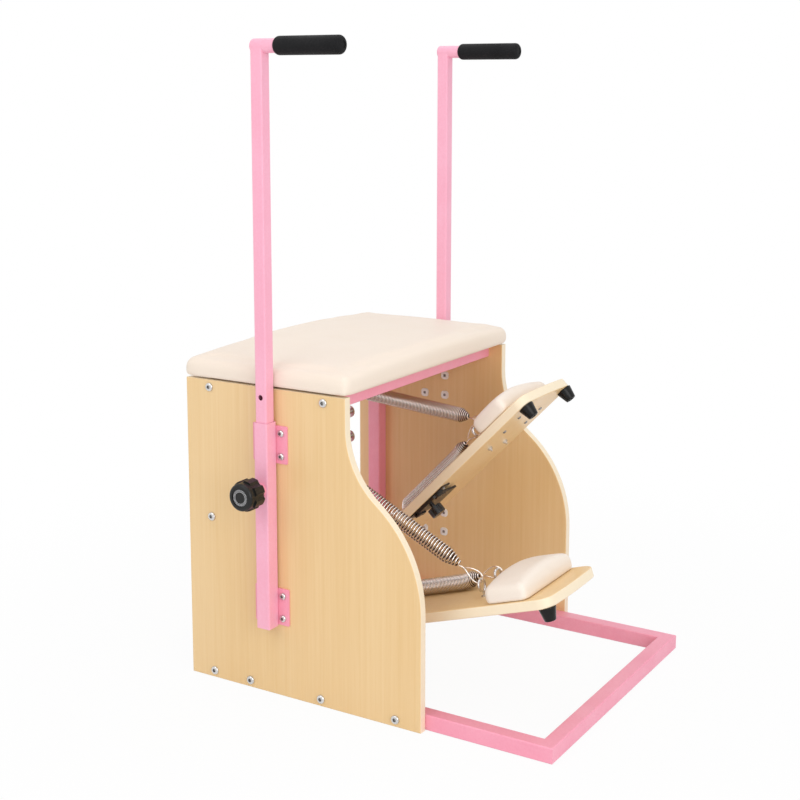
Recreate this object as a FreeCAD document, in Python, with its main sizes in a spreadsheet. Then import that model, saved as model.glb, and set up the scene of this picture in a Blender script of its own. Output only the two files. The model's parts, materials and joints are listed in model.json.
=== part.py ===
import FreeCAD, Part
import itertools
import math
import os

import Sketcher
from FreeCAD import Placement, Rotation, Vector

# Pilates chair: two shaped side panels on a square-tube frame, a padded seat, two sliding
# handles and two sprung pedals. The chair faces -Y, +Z is up, the floor is at Z = 0 and the
# origin lies under the middle of the whole.

doc = FreeCAD.newDocument("PilatesChair")
sheet = doc.addObject("Spreadsheet::Sheet", "Sizes")
rows = itertools.count(1)
nodes = []


def size(alias, value):
    """Write one driving dimension to the sheet and return the expression that reads it."""
    cell = f"B{next(rows)}"
    sheet.set(cell, str(value))
    sheet.setAlias(cell, alias)
    return f"Sizes.{alias}"


# Driving dimensions: millimetres, degrees and counts. A setback is measured forward from the
# rear edge of the side panels, a reach forward from the pedal axle along a pedal.

chair_width = size("chair_width", 632)
base_length = size("base_length", 780)
seat_overhang = size("seat_overhang", 5)

panel_thickness = size("panel_thickness", 18)
panel_height = size("panel_height", 600)
panel_depth = size("panel_depth", 527)
panel_top_depth = size("panel_top_depth", 367)
curve_drop = size("curve_drop", 55)
curve_bottom = size("curve_bottom", 217)
curve_radius = size("curve_radius", 170)
panel_round = size("panel_round", 2)

tube_size = size("tube_size", 30)
tube_wall = size("tube_wall", 2)
tube_round = size("tube_round", 3)
rear_setback = size("rear_setback", 42)
seat_frame_front = size("seat_frame_front", 335)
seat_gap = size("seat_gap", 1.5)
plug_flange = size("plug_flange", 3)
plug_length = size("plug_length", 14)

assembly_gap = size("assembly_gap", 0.3)
running_gap = size("running_gap", 0.05)
hole_gap = size("hole_gap", 0.2)

seat_depth = size("seat_depth", 377)
seat_margin = size("seat_margin", 2)
seat_side = size("seat_side", 36)
seat_crown = size("seat_crown", 10)
seat_corner = size("seat_corner", 24)
seat_top_round = size("seat_top_round", 16)
seat_bottom_round = size("seat_bottom_round", 4)
seat_board_thickness = size("seat_board_thickness", 12)
seat_board_inset = size("seat_board_inset", 14)
seat_screw_spread = size("seat_screw_spread", 360)
seat_screw_bite = size("seat_screw_bite", 8.4)

bolt_shank = size("bolt_shank", 8)
bolt_head = size("bolt_head", 17)
bolt_head_height = size("bolt_head_height", 4.5)
bolt_head_taper = size("bolt_head_taper", 3)
bolt_bite = size("bolt_bite", 8)
base_bolt_second = size("base_bolt_second", 145)
base_bolt_third = size("base_bolt_third", 310)
base_bolt_front = size("base_bolt_front", 474)
upright_bolt_height = size("upright_bolt_height", 330)

post_setback = size("post_setback", 201)
sleeve_bottom = size("sleeve_bottom", 142)
sleeve_drop = size("sleeve_drop", 60)
bracket_thickness = size("bracket_thickness", 3)
bracket_width = size("bracket_width", 78)
bracket_height = size("bracket_height", 72)
bracket_above_foot = size("bracket_above_foot", 38)
bracket_below_top = size("bracket_below_top", 44)
bracket_round = size("bracket_round", 2)
bracket_bolt_spread = size("bracket_bolt_spread", 51)
bracket_bolt_rise = size("bracket_bolt_rise", 44)
bracket_bolt_head = size("bracket_bolt_head", 14)
nut_flange = size("nut_flange", 20)
nut_thickness = size("nut_thickness", 2.5)

post_gap = size("post_gap", 0.5)
post_wall = size("post_wall", 2)
post_bottom = size("post_bottom", 230)
post_hole = size("post_hole", 10.5)
post_hole_pitch = size("post_hole_pitch", 58)
post_holes_above = size("post_holes_above", 3)
post_holes_below = size("post_holes_below", 2)
arm_height = size("arm_height", 1225)
arm_diameter = size("arm_diameter", 26)
arm_wall = size("arm_wall", 2)
arm_tail = size("arm_tail", 15)
arm_front = size("arm_front", 372)
grip_setback = size("grip_setback", 237)
grip_diameter = size("grip_diameter", 32)
grip_cap = size("grip_cap", 4)
grip_round = size("grip_round", 7)

pin_height = size("pin_height", 414)
pin_diameter = size("pin_diameter", 10)
pin_draw = size("pin_draw", 1)
pin_travel = size("pin_travel", 10)
boss_diameter = size("boss_diameter", 24)
boss_length = size("boss_length", 24)
knob_rim = size("knob_rim", 58)
knob_rim_depth = size("knob_rim_depth", 25)
knob_lobes = size("knob_lobes", 7)
knob_notch = size("knob_notch", 17)
knob_notch_depth = size("knob_notch_depth", 3.5)
knob_face = size("knob_face", 52)
knob_face_depth = size("knob_face_depth", 15)
knob_round = size("knob_round", 6)
knob_dish = size("knob_dish", 1.5)
knob_dish_diameter = size("knob_dish_diameter", 34)

rack_offset = size("rack_offset", 122)
peg_diameter = size("peg_diameter", 12)
peg_disc = size("peg_disc", 27)
peg_disc_thickness = size("peg_disc_thickness", 4)
peg_reach = size("peg_reach", 47)
peg_drop = size("peg_drop", 18.5)
peg_pitch = size("peg_pitch", 56)
peg_count = size("peg_count", 5)

axle_height = size("axle_height", 65)
axle_diameter = size("axle_diameter", 14)
axle_stub = size("axle_stub", 12)
axle_nut_flats = size("axle_nut_flats", 22)
axle_nut_height = size("axle_nut_height", 9.6)
ear_thickness = size("ear_thickness", 6)
ear_play = size("ear_play", 7)
ear_round = size("ear_round", 14)
ear_flat = size("ear_flat", 0.02)
bush_wall = size("bush_wall", 2)
knuckle_wall = size("knuckle_wall", 3)
knuckle_side_gap = size("knuckle_side_gap", 2)
knuckle_rack_gap = size("knuckle_rack_gap", 4)
hinge_plate_thickness = size("hinge_plate_thickness", 4)
hinge_plate_rear = size("hinge_plate_rear", 22)
hinge_plate_front = size("hinge_plate_front", 100)
hinge_screw_reach = size("hinge_screw_reach", 80)
hinge_screw_inset = size("hinge_screw_inset", 27.5)

left_angle = size("left_angle", 17.4)
right_angle = size("right_angle", 45.9)
pedal_gap = size("pedal_gap", 32)
pedal_width = size("pedal_width", 209)
board_thickness = size("board_thickness", 19.5)
board_drop = size("board_drop", 17.75)
board_rear = size("board_rear", 24)
board_side_reach = size("board_side_reach", 702)
board_bow = size("board_bow", 5)
board_corner = size("board_corner", 26)
board_rear_corner = size("board_rear_corner", 6)
board_round = size("board_round", 3)

pad_reach = size("pad_reach", 617)
pad_depth = size("pad_depth", 87)
pad_margin = size("pad_margin", 2.5)
pad_side = size("pad_side", 30)
pad_crown = size("pad_crown", 12)
pad_corner = size("pad_corner", 20)
pad_top_round = size("pad_top_round", 15)
pad_bottom_round = size("pad_bottom_round", 3)
pad_screw_spread = size("pad_screw_spread", 94)
pad_screw_pitch = size("pad_screw_pitch", 46)

foot_reach = size("foot_reach", 688)
foot_inset = size("foot_inset", 18)
foot_diameter = size("foot_diameter", 33)
foot_tip = size("foot_tip", 21)
foot_height = size("foot_height", 25)
foot_round = size("foot_round", 2)

hook_reach = size("hook_reach", 535)
hook_offset = size("hook_offset", 33)
hook_wire = size("hook_wire", 5)
hook_eye = size("hook_eye", 23)
hook_rise = size("hook_rise", 21)
hook_opening = size("hook_opening", 45)
hook_collar = size("hook_collar", 12)
hook_collar_height = size("hook_collar_height", 2)
hook_nut_flats = size("hook_nut_flats", 9)
hook_nut_height = size("hook_nut_height", 4)

screw_head = size("screw_head", 9)
screw_head_height = size("screw_head_height", 2.5)
screw_head_flat = size("screw_head_flat", 6)
screw_shank = size("screw_shank", 4)
screw_length = size("screw_length", 12)

latch_reach = size("latch_reach", 373)
latch_slot = size("latch_slot", 70)
latch_wall = size("latch_wall", 3)
latch_tab = size("latch_tab", 21)
latch_lip = size("latch_lip", 7)
latch_width = size("latch_width", 30)
latch_inset = size("latch_inset", 4)
latch_bar_thickness = size("latch_bar_thickness", 4.5)
latch_bar_length = size("latch_bar_length", 84)
latch_bar_inset = size("latch_bar_inset", 2)
latch_bar_corner = size("latch_bar_corner", 8)
latch_knob_inset = size("latch_knob_inset", 22)
latch_knob_diameter = size("latch_knob_diameter", 32)
latch_knob_height = size("latch_knob_height", 18)
latch_knob_lobes = size("latch_knob_lobes", 6)
latch_knob_round = size("latch_knob_round", 3)
latch_knob_notch = size("latch_knob_notch", 7)
latch_knob_notch_depth = size("latch_knob_notch_depth", 1.5)
latch_stem_diameter = size("latch_stem_diameter", 9)
latch_stem_length = size("latch_stem_length", 9)

spring_diameter = size("spring_diameter", 32)
spring_wire = size("spring_wire", 3.2)
spring_neck = size("spring_neck", 6)
spring_strand = size("spring_strand", 42)
spring_loop = size("spring_loop", 21)
spring_loop_sweep = size("spring_loop_sweep", 255)
spring_taper_turns = size("spring_taper_turns", 1.5)
left_outer_peg = size("left_outer_peg", 1)
left_outer_turns = size("left_outer_turns", 12)
right_outer_peg = size("right_outer_peg", 1)
right_outer_turns = size("right_outer_turns", 8)
slack_spring_length = size("slack_spring_length", 265)
slack_turns = size("slack_turns", 8)

doc.recompute()

LEFT = -1
RIGHT = 1
SIDES = {"left": LEFT, "right": RIGHT}
PEDAL_ANGLE = {"left": left_angle, "right": right_angle}
PEDAL_FEET = {"left": (LEFT,), "right": (LEFT, RIGHT)}

# Places that several pieces share.

rear_edge = f"({base_length} - {seat_overhang}) / 2"
panel_face = f"{chair_width} / 2"
panel_inside = f"({panel_face} - {panel_thickness})"
rail_line = f"({panel_inside} - {tube_size} / 2)"
rail_inside = f"({panel_inside} - {tube_size})"
rear_rail_setback = f"({rear_setback} + {tube_size} / 2)"
curve_top = f"({panel_height} - {curve_drop})"
sleeve_top = f"({panel_height} - {sleeve_drop})"
bracket_low = f"({sleeve_bottom} + {bracket_above_foot})"
bracket_high = f"({sleeve_top} - {bracket_below_top})"
seat_frame_top = f"({panel_height} + {seat_gap})"
peg_top = f"({seat_frame_top} - {tube_size} - {peg_drop})"
seat_rail_height = f"({seat_frame_top} - {tube_size} / 2)"
seat_front_setback = f"({seat_frame_front} - {tube_size} / 2)"
sleeve_line = f"({panel_face} + {bracket_thickness} + {tube_size} / 2)"
sleeve_face = f"({sleeve_line} + {tube_size} / 2)"
post_size = f"({tube_size} - 2 * {tube_wall} - 2 * {post_gap})"
pedal_centre = f"({pedal_gap} + {pedal_width}) / 2"
pad_width = f"({pedal_width} - 2 * {pad_margin})"
foot_spread = f"({pedal_width} - 2 * {foot_inset})"
hinge_screw_spread = f"({pedal_width} - 2 * {hinge_screw_inset})"
board_top = f"({board_thickness} / 2 - {board_drop})"
board_bottom = f"(-{board_thickness} / 2 - {board_drop})"
bush_radius = f"({axle_diameter} / 2 + {running_gap} + {bush_wall})"
knuckle_radius = f"({bush_radius} + {knuckle_wall})"
bolt_hole = f"({bolt_shank} / 2 + {hole_gap})"
screw_hole = f"({screw_shank} / 2 + {hole_gap})"
latch_reveal = f"({latch_bar_thickness} + 2 * {assembly_gap})"


def number(expression):
    """Value of an expression over the sheet."""
    return float(sheet.evalExpression(expression))


def forward(setback):
    """Y of a place given by its setback from the panels' rear edge."""
    return f"{rear_edge} - ({setback})"


# Small helpers for bodies, sketches and features.


def new_body(label):
    body = doc.addObject("PartDesign::Body", label)
    body.Label = label
    return body


def new_sketch(body, role, lift=None):
    """Sketch on one of the body's own origin planes, lifted along the plane's normal."""
    sketch = body.newObject("Sketcher::SketchObject", "Sketch")
    plane = next(item for item in body.Origin.OriginFeatures if item.Role == role)
    sketch.AttachmentSupport = (plane, [""])
    sketch.MapMode = "FlatFace"
    if lift:
        sketch.setExpression("AttachmentOffset.Base.z", lift)
    return sketch


def drive(sketch, expression, kind, *ends):
    """Add a dimension whose value comes from the sheet."""
    index = sketch.addConstraint(Sketcher.Constraint(kind, *ends, number(expression)))
    sketch.setExpression(f"Constraints[{index}]", expression)


def fix_point(sketch, geometry, end, across, up):
    """Tie a sketch point to the sketch origin by its two coordinates."""
    for kind, axis, expression in (("DistanceX", -2, across), ("DistanceY", -1, up)):
        value = number(expression)
        if abs(value) < 1e-9:
            sketch.addConstraint(Sketcher.Constraint("PointOnObject", geometry, end, axis))
        elif value > 0:
            drive(sketch, expression, kind, -1, 1, geometry, end)
        else:
            drive(sketch, f"-({expression})", kind, geometry, end, -1, 1)


def add_outline(sketch, points):
    """Closed outline of straight lines through the given points."""
    places = [Vector(number(across), number(up), 0) for across, up in points]
    first = sketch.GeometryCount
    count = len(points)
    for index, place in enumerate(places):
        sketch.addGeometry(Part.LineSegment(place, places[(index + 1) % count]))
    for index, (across, up) in enumerate(points):
        sketch.addConstraint(
            Sketcher.Constraint("Coincident", first + index, 2, first + (index + 1) % count, 1)
        )
        fix_point(sketch, first + index, 1, across, up)


def add_square(sketch, side):
    half = f"{side} / 2"
    add_outline(sketch, [(f"-{half}", f"-{half}"), (half, f"-{half}"), (half, half), (f"-{half}", half)])


def add_circle(sketch, across, up, radius):
    place = Vector(number(across), number(up), 0)
    circle = sketch.addGeometry(Part.Circle(place, Vector(0, 0, 1), number(radius)))
    fix_point(sketch, circle, 3, across, up)
    drive(sketch, radius, "Radius", circle)


def add_bowed_outline(sketch, start, end, bow, rest):
    """Closed outline with one bowed edge from start to end, and straight lines through the rest."""
    first_place = Vector(number(start[0]), number(start[1]), 0)
    last_place = Vector(number(end[0]), number(end[1]), 0)
    chord = last_place - first_place
    outward = Vector(chord.y, -chord.x, 0).normalize()
    middle = (first_place + last_place) / 2 + outward * number(bow)
    arc = sketch.addGeometry(Part.Arc(first_place, middle, last_place))
    curve = sketch.Geometry[arc]
    first_end = 1 if curve.StartPoint.isEqual(first_place, 1e-6) else 2
    last_end = 3 - first_end
    fix_point(sketch, arc, first_end, *start)
    fix_point(sketch, arc, last_end, *end)
    half = f"sqrt((({end[0]}) - ({start[0]}))^2 + (({end[1]}) - ({start[1]}))^2) / 2"
    drive(sketch, f"(({half})^2 / ({bow}) + ({bow})) / 2", "Radius", arc)
    corners = [end] + rest + [start]
    lines = []
    for near, far in zip(corners, corners[1:]):
        near_place = Vector(number(near[0]), number(near[1]), 0)
        far_place = Vector(number(far[0]), number(far[1]), 0)
        lines.append(sketch.addGeometry(Part.LineSegment(near_place, far_place)))
    sketch.addConstraint(Sketcher.Constraint("Coincident", arc, last_end, lines[0], 1))
    for before, after, corner in zip(lines, lines[1:], rest):
        sketch.addConstraint(Sketcher.Constraint("Coincident", before, 2, after, 1))
        fix_point(sketch, after, 1, *corner)
    sketch.addConstraint(Sketcher.Constraint("Coincident", lines[-1], 2, arc, first_end))


def pad(body, sketch, length, both_ways=False):
    feature = body.newObject("PartDesign::Pad", "Pad")
    feature.Profile = sketch
    feature.setExpression("Length", length)
    feature.SideType = "Symmetric" if both_ways else "One side"
    doc.recompute()
    return feature


def revolve(body, sketch, axis):
    feature = body.newObject("PartDesign::Revolution", "Revolution")
    feature.Profile = sketch
    feature.ReferenceAxis = (sketch, [axis])
    doc.recompute()
    return feature


def cut(body, sketch, length=None, along_normal=False):
    """Pocket through everything, or to a length on one side, which has to take material away."""
    before = body.Shape.Volume
    feature = body.newObject("PartDesign::Pocket", "Pocket")
    feature.Profile = sketch
    if length:
        feature.Type = "Length"
        feature.setExpression("Length", length)
        feature.Reversed = along_normal
    else:
        feature.Type = "ThroughAll"
        feature.SideType = "Symmetric"
    doc.recompute()
    if body.Shape.Volume >= before:
        raise RuntimeError(f"{body.Label}: a pocket takes nothing away")
    return feature


def round_edges(body, radius, wanted):
    """Fillet the edges of the body's last feature that pass a test."""
    base = body.Tip
    names = [f"Edge{index}" for index, edge in enumerate(base.Shape.Edges, 1) if wanted(edge)]
    feature = body.newObject("PartDesign::Fillet", "Fillet")
    feature.Base = (base, names)
    feature.setExpression("Radius", radius)
    doc.recompute()
    return feature


def runs_along(edge, axis):
    """True for a straight edge along an axis, given as x, y or z."""
    if not isinstance(edge.Curve, Part.Line):
        return False
    return abs(getattr(edge.Curve.Direction, axis)) > 0.999


def place(piece, x, y, z, turn=None):
    """Bind a piece's position to the sheet."""
    piece.Placement = Placement(Vector(), turn or Rotation())
    for axis, expression in zip("xyz", (x, y, z)):
        piece.setExpression(f"Placement.Base.{axis}", expression)


def ride_pedal(piece, side):
    """Seat a piece, drawn about the axle with the pedal level, on the tilted pedal."""
    turn = Rotation(Vector(-1, 0, 0), number(PEDAL_ANGLE[side]))
    place(piece, f"{SIDES[side]} * {pedal_centre}", forward(rear_rail_setback), axle_height, turn)
    piece.setExpression("Placement.Rotation.Angle", PEDAL_ANGLE[side])


def add_node(piece):
    nodes.append(piece)
    return piece


def copies(label, master, spots):
    """Group of like pieces: links to one master, each at a spot with an optional turn."""
    group = doc.addObject("Part::Compound", label)
    links = []
    for x, y, z, turn in spots:
        link = doc.addObject("App::Link", "Copy")
        link.LinkedObject = master
        place(link, x, y, z, turn)
        links.append(link)
    group.Links = links
    group.Label = label
    return add_node(group)


TO_FRONT = Rotation(Vector(1, 0, 0), 90)
TO_RIGHT = Rotation(Vector(0, 1, 0), 90)
HALF_TURN = Rotation(Vector(0, 0, 1), 180)
UPSIDE_DOWN = Rotation(Vector(1, 0, 0), 180)
FACING = {"left": Rotation(), "right": HALF_TURN}


# Square tubes: a hollow profile drawn across +Z, with rounded outer corners.


def square_tube(label, side, wall, length):
    body = new_body(label)
    sketch = new_sketch(body, "XY_Plane")
    add_square(sketch, side)
    add_square(sketch, f"({side} - 2 * {wall})")
    pad(body, sketch, length)
    corner = number(f"{side} / 2") - 1e-3

    def is_outer(edge):
        middle = edge.CenterOfMass
        return runs_along(edge, "z") and min(abs(middle.x), abs(middle.y)) > corner

    round_edges(body, tube_round, is_outer)
    return add_node(body)


def mitre(body, role, points):
    """Take a corner off a tube's end, so that it meets its neighbour at 45 degrees."""
    sketch = new_sketch(body, role)
    add_outline(sketch, points)
    cut(body, sketch)


def drill_wall(body, role, spots, radius, along_normal):
    """Holes from the tube's middle out through one wall."""
    sketch = new_sketch(body, role)
    for across, up in spots:
        add_circle(sketch, across, up, radius)
    cut(body, sketch, tube_size, along_normal)


def drill_through(body, role, spots, radius):
    sketch = new_sketch(body, role)
    for across, up in spots:
        add_circle(sketch, across, up, radius)
    cut(body, sketch)


def make_base_frame():
    half = f"{tube_size} / 2"
    side_length = f"({base_length} - {rear_setback})"
    bolts = [rear_rail_setback, base_bolt_second, base_bolt_third, base_bolt_front]
    for side, sign in SIDES.items():
        rail = square_tube(f"base_{side}_rail", tube_size, tube_wall, side_length)
        inward = f"{-sign} * {half}"
        outward = f"{sign} * {half}"
        mitre(rail, "XZ_Plane", [
            (outward, side_length),
            (inward, side_length),
            (inward, f"{side_length} - {tube_size}"),
        ])
        spots = [("0", f"{bolt} - {rear_setback}") for bolt in bolts]
        drill_wall(rail, "YZ_Plane", spots, bolt_hole, sign == RIGHT)
        place(rail, f"{sign} * {rail_line}", forward(rear_setback), half, TO_FRONT)

    front_length = f"2 * {panel_inside}"
    front = square_tube("base_front_rail", tube_size, tube_wall, front_length)
    mitre(front, "YZ_Plane", [(f"-{half}", "0"), (half, "0"), (half, tube_size)])
    mitre(front, "YZ_Plane", [
        (f"-{half}", front_length),
        (half, front_length),
        (half, f"{front_length} - {tube_size}"),
    ])
    place(front, f"-{panel_inside}", forward(f"{base_length} - {half}"), half, TO_RIGHT)

    rear = square_tube("base_rear_rail", tube_size, tube_wall, f"2 * {rail_inside}")
    place(rear, f"-{rail_inside}", forward(rear_rail_setback), half, TO_RIGHT)

    plug = new_body("Rail plug")
    sketch = new_sketch(plug, "XY_Plane")
    add_square(sketch, tube_size)
    pad(plug, sketch, plug_flange)
    stub = new_sketch(plug, "XY_Plane")
    add_square(stub, f"({tube_size} - 2 * {tube_wall} - {hole_gap})")
    pad(plug, stub, plug_length)
    copies("base_plugs", plug, [
        (f"{sign} * {rail_line}", forward(f"{rear_setback} - {plug_flange}"), half, TO_FRONT)
        for sign in SIDES.values()
    ])


def make_seat_frame():
    half = f"{tube_size} / 2"
    side_length = f"({seat_frame_front} - {rear_setback})"
    upright_length = f"({seat_frame_top} - 2 * {tube_size})"
    for side, sign in SIDES.items():
        upright = square_tube(f"{side}_rear_upright", tube_size, tube_wall, upright_length)
        height = f"{upright_bolt_height} - {tube_size}"
        drill_wall(upright, "YZ_Plane", [("0", height)], bolt_hole, sign == RIGHT)
        place(upright, f"{sign} * {rail_line}", forward(rear_rail_setback), tube_size)

        rail = square_tube(f"seat_{side}_rail", tube_size, tube_wall, side_length)
        inward = f"{-sign} * {half}"
        mitre(rail, "XZ_Plane", [
            (f"{sign} * {half}", side_length),
            (inward, side_length),
            (inward, f"{side_length} - {tube_size}"),
        ])
        spots = [("0", half), ("0", f"{side_length} - {half}")]
        drill_wall(rail, "YZ_Plane", spots, bolt_hole, sign == RIGHT)
        place(rail, f"{sign} * {rail_line}", forward(rear_setback), seat_rail_height, TO_FRONT)

    front_length = f"2 * {panel_inside}"
    front = square_tube("seat_front_rail", tube_size, tube_wall, front_length)
    mitre(front, "YZ_Plane", [(f"-{half}", "0"), (half, "0"), (half, tube_size)])
    mitre(front, "YZ_Plane", [
        (f"-{half}", front_length),
        (half, front_length),
        (half, f"{front_length} - {tube_size}"),
    ])
    drill_through(front, "YZ_Plane", seat_screw_spots(panel_inside), screw_hole)
    place(front, f"-{panel_inside}", forward(seat_front_setback), seat_rail_height, TO_RIGHT)

    rear = square_tube("seat_rear_rail", tube_size, tube_wall, f"2 * {rail_inside}")
    drill_through(rear, "YZ_Plane", seat_screw_spots(rail_inside), screw_hole)
    place(rear, f"-{rail_inside}", forward(rear_rail_setback), seat_rail_height, TO_RIGHT)


def seat_screw_spots(half_length):
    """Holes up through a cross rail of the seat frame, in the rail's own plane."""
    return [("0", f"{half_length} + {sign} * {seat_screw_spread} / 2") for sign in SIDES.values()]


def make_side_panel(side, sign):
    body = new_body(f"{side}_side_panel")
    sketch = new_sketch(body, "YZ_Plane")
    depth = number(panel_depth)
    top_depth = number(panel_top_depth)
    height = number(panel_height)
    high = number(curve_top)
    low = number(curve_bottom)
    radius = number(curve_radius)
    sweep = 2 * math.atan((depth - top_depth) / (high - low))
    lower_radius = (high - low) / math.sin(sweep) - radius
    normal = Vector(0, 0, 1)
    bulge = Part.Circle(Vector(-depth + lower_radius, low, 0), normal, lower_radius)
    hollow = Part.Circle(Vector(-top_depth - radius, high, 0), normal, radius)
    outline = [
        Part.LineSegment(Vector(0, 0, 0), Vector(-depth, 0, 0)),
        Part.LineSegment(Vector(-depth, 0, 0), Vector(-depth, low, 0)),
        Part.ArcOfCircle(bulge, math.pi - sweep, math.pi),
        Part.ArcOfCircle(hollow, -sweep, 0),
        Part.LineSegment(Vector(-top_depth, high, 0), Vector(-top_depth, height, 0)),
        Part.LineSegment(Vector(-top_depth, height, 0), Vector(0, height, 0)),
        Part.LineSegment(Vector(0, height, 0), Vector(0, 0, 0)),
    ]
    bottom, front, lower_arc, upper_arc, neck, top, rear = (sketch.addGeometry(g) for g in outline)
    joins = [
        ("Coincident", rear, 2, bottom, 1),
        ("Coincident", bottom, 2, front, 1),
        ("Tangent", front, 2, lower_arc, 2),
        ("Tangent", lower_arc, 1, upper_arc, 1),
        ("Tangent", upper_arc, 2, neck, 1),
        ("Coincident", neck, 2, top, 1),
        ("Coincident", top, 2, rear, 1),
        ("Coincident", bottom, 1, -1, 1),
        ("Horizontal", bottom),
        ("Vertical", front),
        ("Vertical", neck),
        ("Horizontal", top),
        ("Vertical", rear),
    ]
    for join in joins:
        sketch.addConstraint(Sketcher.Constraint(*join))
    drive(sketch, panel_depth, "DistanceX", bottom, 2, bottom, 1)
    drive(sketch, panel_height, "DistanceY", rear, 2, rear, 1)
    drive(sketch, panel_top_depth, "DistanceX", top, 1, top, 2)
    drive(sketch, curve_bottom, "DistanceY", front, 1, front, 2)
    drive(sketch, curve_top, "DistanceY", -1, 1, neck, 1)
    drive(sketch, curve_radius, "Radius", upper_arc)
    pad(body, sketch, panel_thickness)
    thickness = number(panel_thickness)
    round_edges(body, panel_round, lambda edge: edge.BoundBox.XLength < thickness / 2)
    spots = [(f"-({setback})", height) for setback, height in panel_bolt_spots()]
    spots += [(f"-({setback})", height) for setback, height in bracket_bolt_spots()]
    drill_through(body, "YZ_Plane", spots, bolt_hole)
    face = f"-{panel_face}" if sign == LEFT else panel_inside
    place(body, face, rear_edge, "0")
    add_node(body)


def panel_bolt_spots():
    """Setback and height of each bolt that holds a panel to the frame."""
    base = [rear_rail_setback, base_bolt_second, base_bolt_third, base_bolt_front]
    spots = [(setback, f"{tube_size} / 2") for setback in base]
    spots += [(setback, seat_rail_height) for setback in (rear_rail_setback, seat_front_setback)]
    spots.append((rear_rail_setback, upright_bolt_height))
    return spots


def bracket_bolt_spots():
    """Setback and height of each bolt that holds a handle sleeve to its panel."""
    return [
        (f"{post_setback} + {across} * {bracket_bolt_spread} / 2",
         f"{middle} + {up} * {bracket_bolt_rise} / 2")
        for middle in (bracket_low, bracket_high)
        for across in (-1, 1)
        for up in (-1, 1)
    ]


def button_bolt(label, head, length):
    """Button-head bolt along +X, with its seat at the origin."""
    body = new_body(label)
    sketch = new_sketch(body, "XY_Plane")
    shank = f"{bolt_shank} / 2"
    add_outline(sketch, [
        (length, "0"),
        (length, shank),
        ("0", shank),
        ("0", f"{head} / 2"),
        (f"-{bolt_head_height}", f"{head} / 2 - {bolt_head_taper}"),
        (f"-{bolt_head_height}", "0"),
    ])
    revolve(body, sketch, "H_Axis")
    return body


def make_panel_bolts():
    bolt = button_bolt("Panel bolt", bolt_head, f"{panel_thickness} + {tube_wall} + {bolt_bite}")
    copies("panel_bolts", bolt, [
        (f"{sign} * {panel_face}", forward(setback), height, FACING[side])
        for side, sign in SIDES.items()
        for setback, height in panel_bolt_spots()
    ])


# Handle sleeves: a square guide tube on two plates, bolted through each panel.


def make_sleeve(side, sign):
    sleeve = square_tube(f"{side}_sleeve", tube_size, tube_wall, f"{sleeve_top} - {sleeve_bottom}")
    pin_bore = f"({pin_diameter} / 2 + {hole_gap})"
    height = f"{pin_height} - {sleeve_bottom}"
    drill_wall(sleeve, "YZ_Plane", [("0", height)], pin_bore, sign == RIGHT)
    place(sleeve, f"{sign} * {sleeve_line}", forward(post_setback), sleeve_bottom)


def make_sleeve_brackets():
    plate = new_body("Sleeve bracket")
    sketch = new_sketch(plate, "YZ_Plane")
    add_rectangle(sketch, bracket_width, bracket_height)
    pad(plate, sketch, bracket_thickness)
    round_edges(plate, bracket_round, lambda edge: runs_along(edge, "x"))
    drill_through(plate, "YZ_Plane", [
        (f"{across} * {bracket_bolt_spread} / 2", f"{up} * {bracket_bolt_rise} / 2")
        for across in (-1, 1)
        for up in (-1, 1)
    ], bolt_hole)
    copies("sleeve_brackets", plate, [
        (inner, forward(post_setback), middle, None)
        for inner in (panel_face, f"-({panel_face} + {bracket_thickness})")
        for middle in (bracket_low, bracket_high)
    ])


def make_bracket_fasteners():
    bolt = button_bolt("Bracket bolt", bracket_bolt_head, f"{bracket_thickness} + {panel_thickness}")
    copies("bracket_bolts", bolt, [
        (f"{sign} * ({panel_face} + {bracket_thickness})", forward(setback), height, FACING[side])
        for side, sign in SIDES.items()
        for setback, height in bracket_bolt_spots()
    ])
    nut = new_body("Bracket nut")
    sketch = new_sketch(nut, "YZ_Plane")
    add_circle(sketch, "0", "0", f"{nut_flange} / 2")
    add_circle(sketch, "0", "0", f"{bolt_shank} / 2")
    pad(nut, sketch, nut_thickness)
    copies("bracket_nuts", nut, [
        (f"{sign} * {panel_inside}", forward(setback), height, FACING[side])
        for side, sign in SIDES.items()
        for setback, height in bracket_bolt_spots()
    ])


# Handles: a perforated square post with a round arm welded across its top, and a foam grip.


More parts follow.
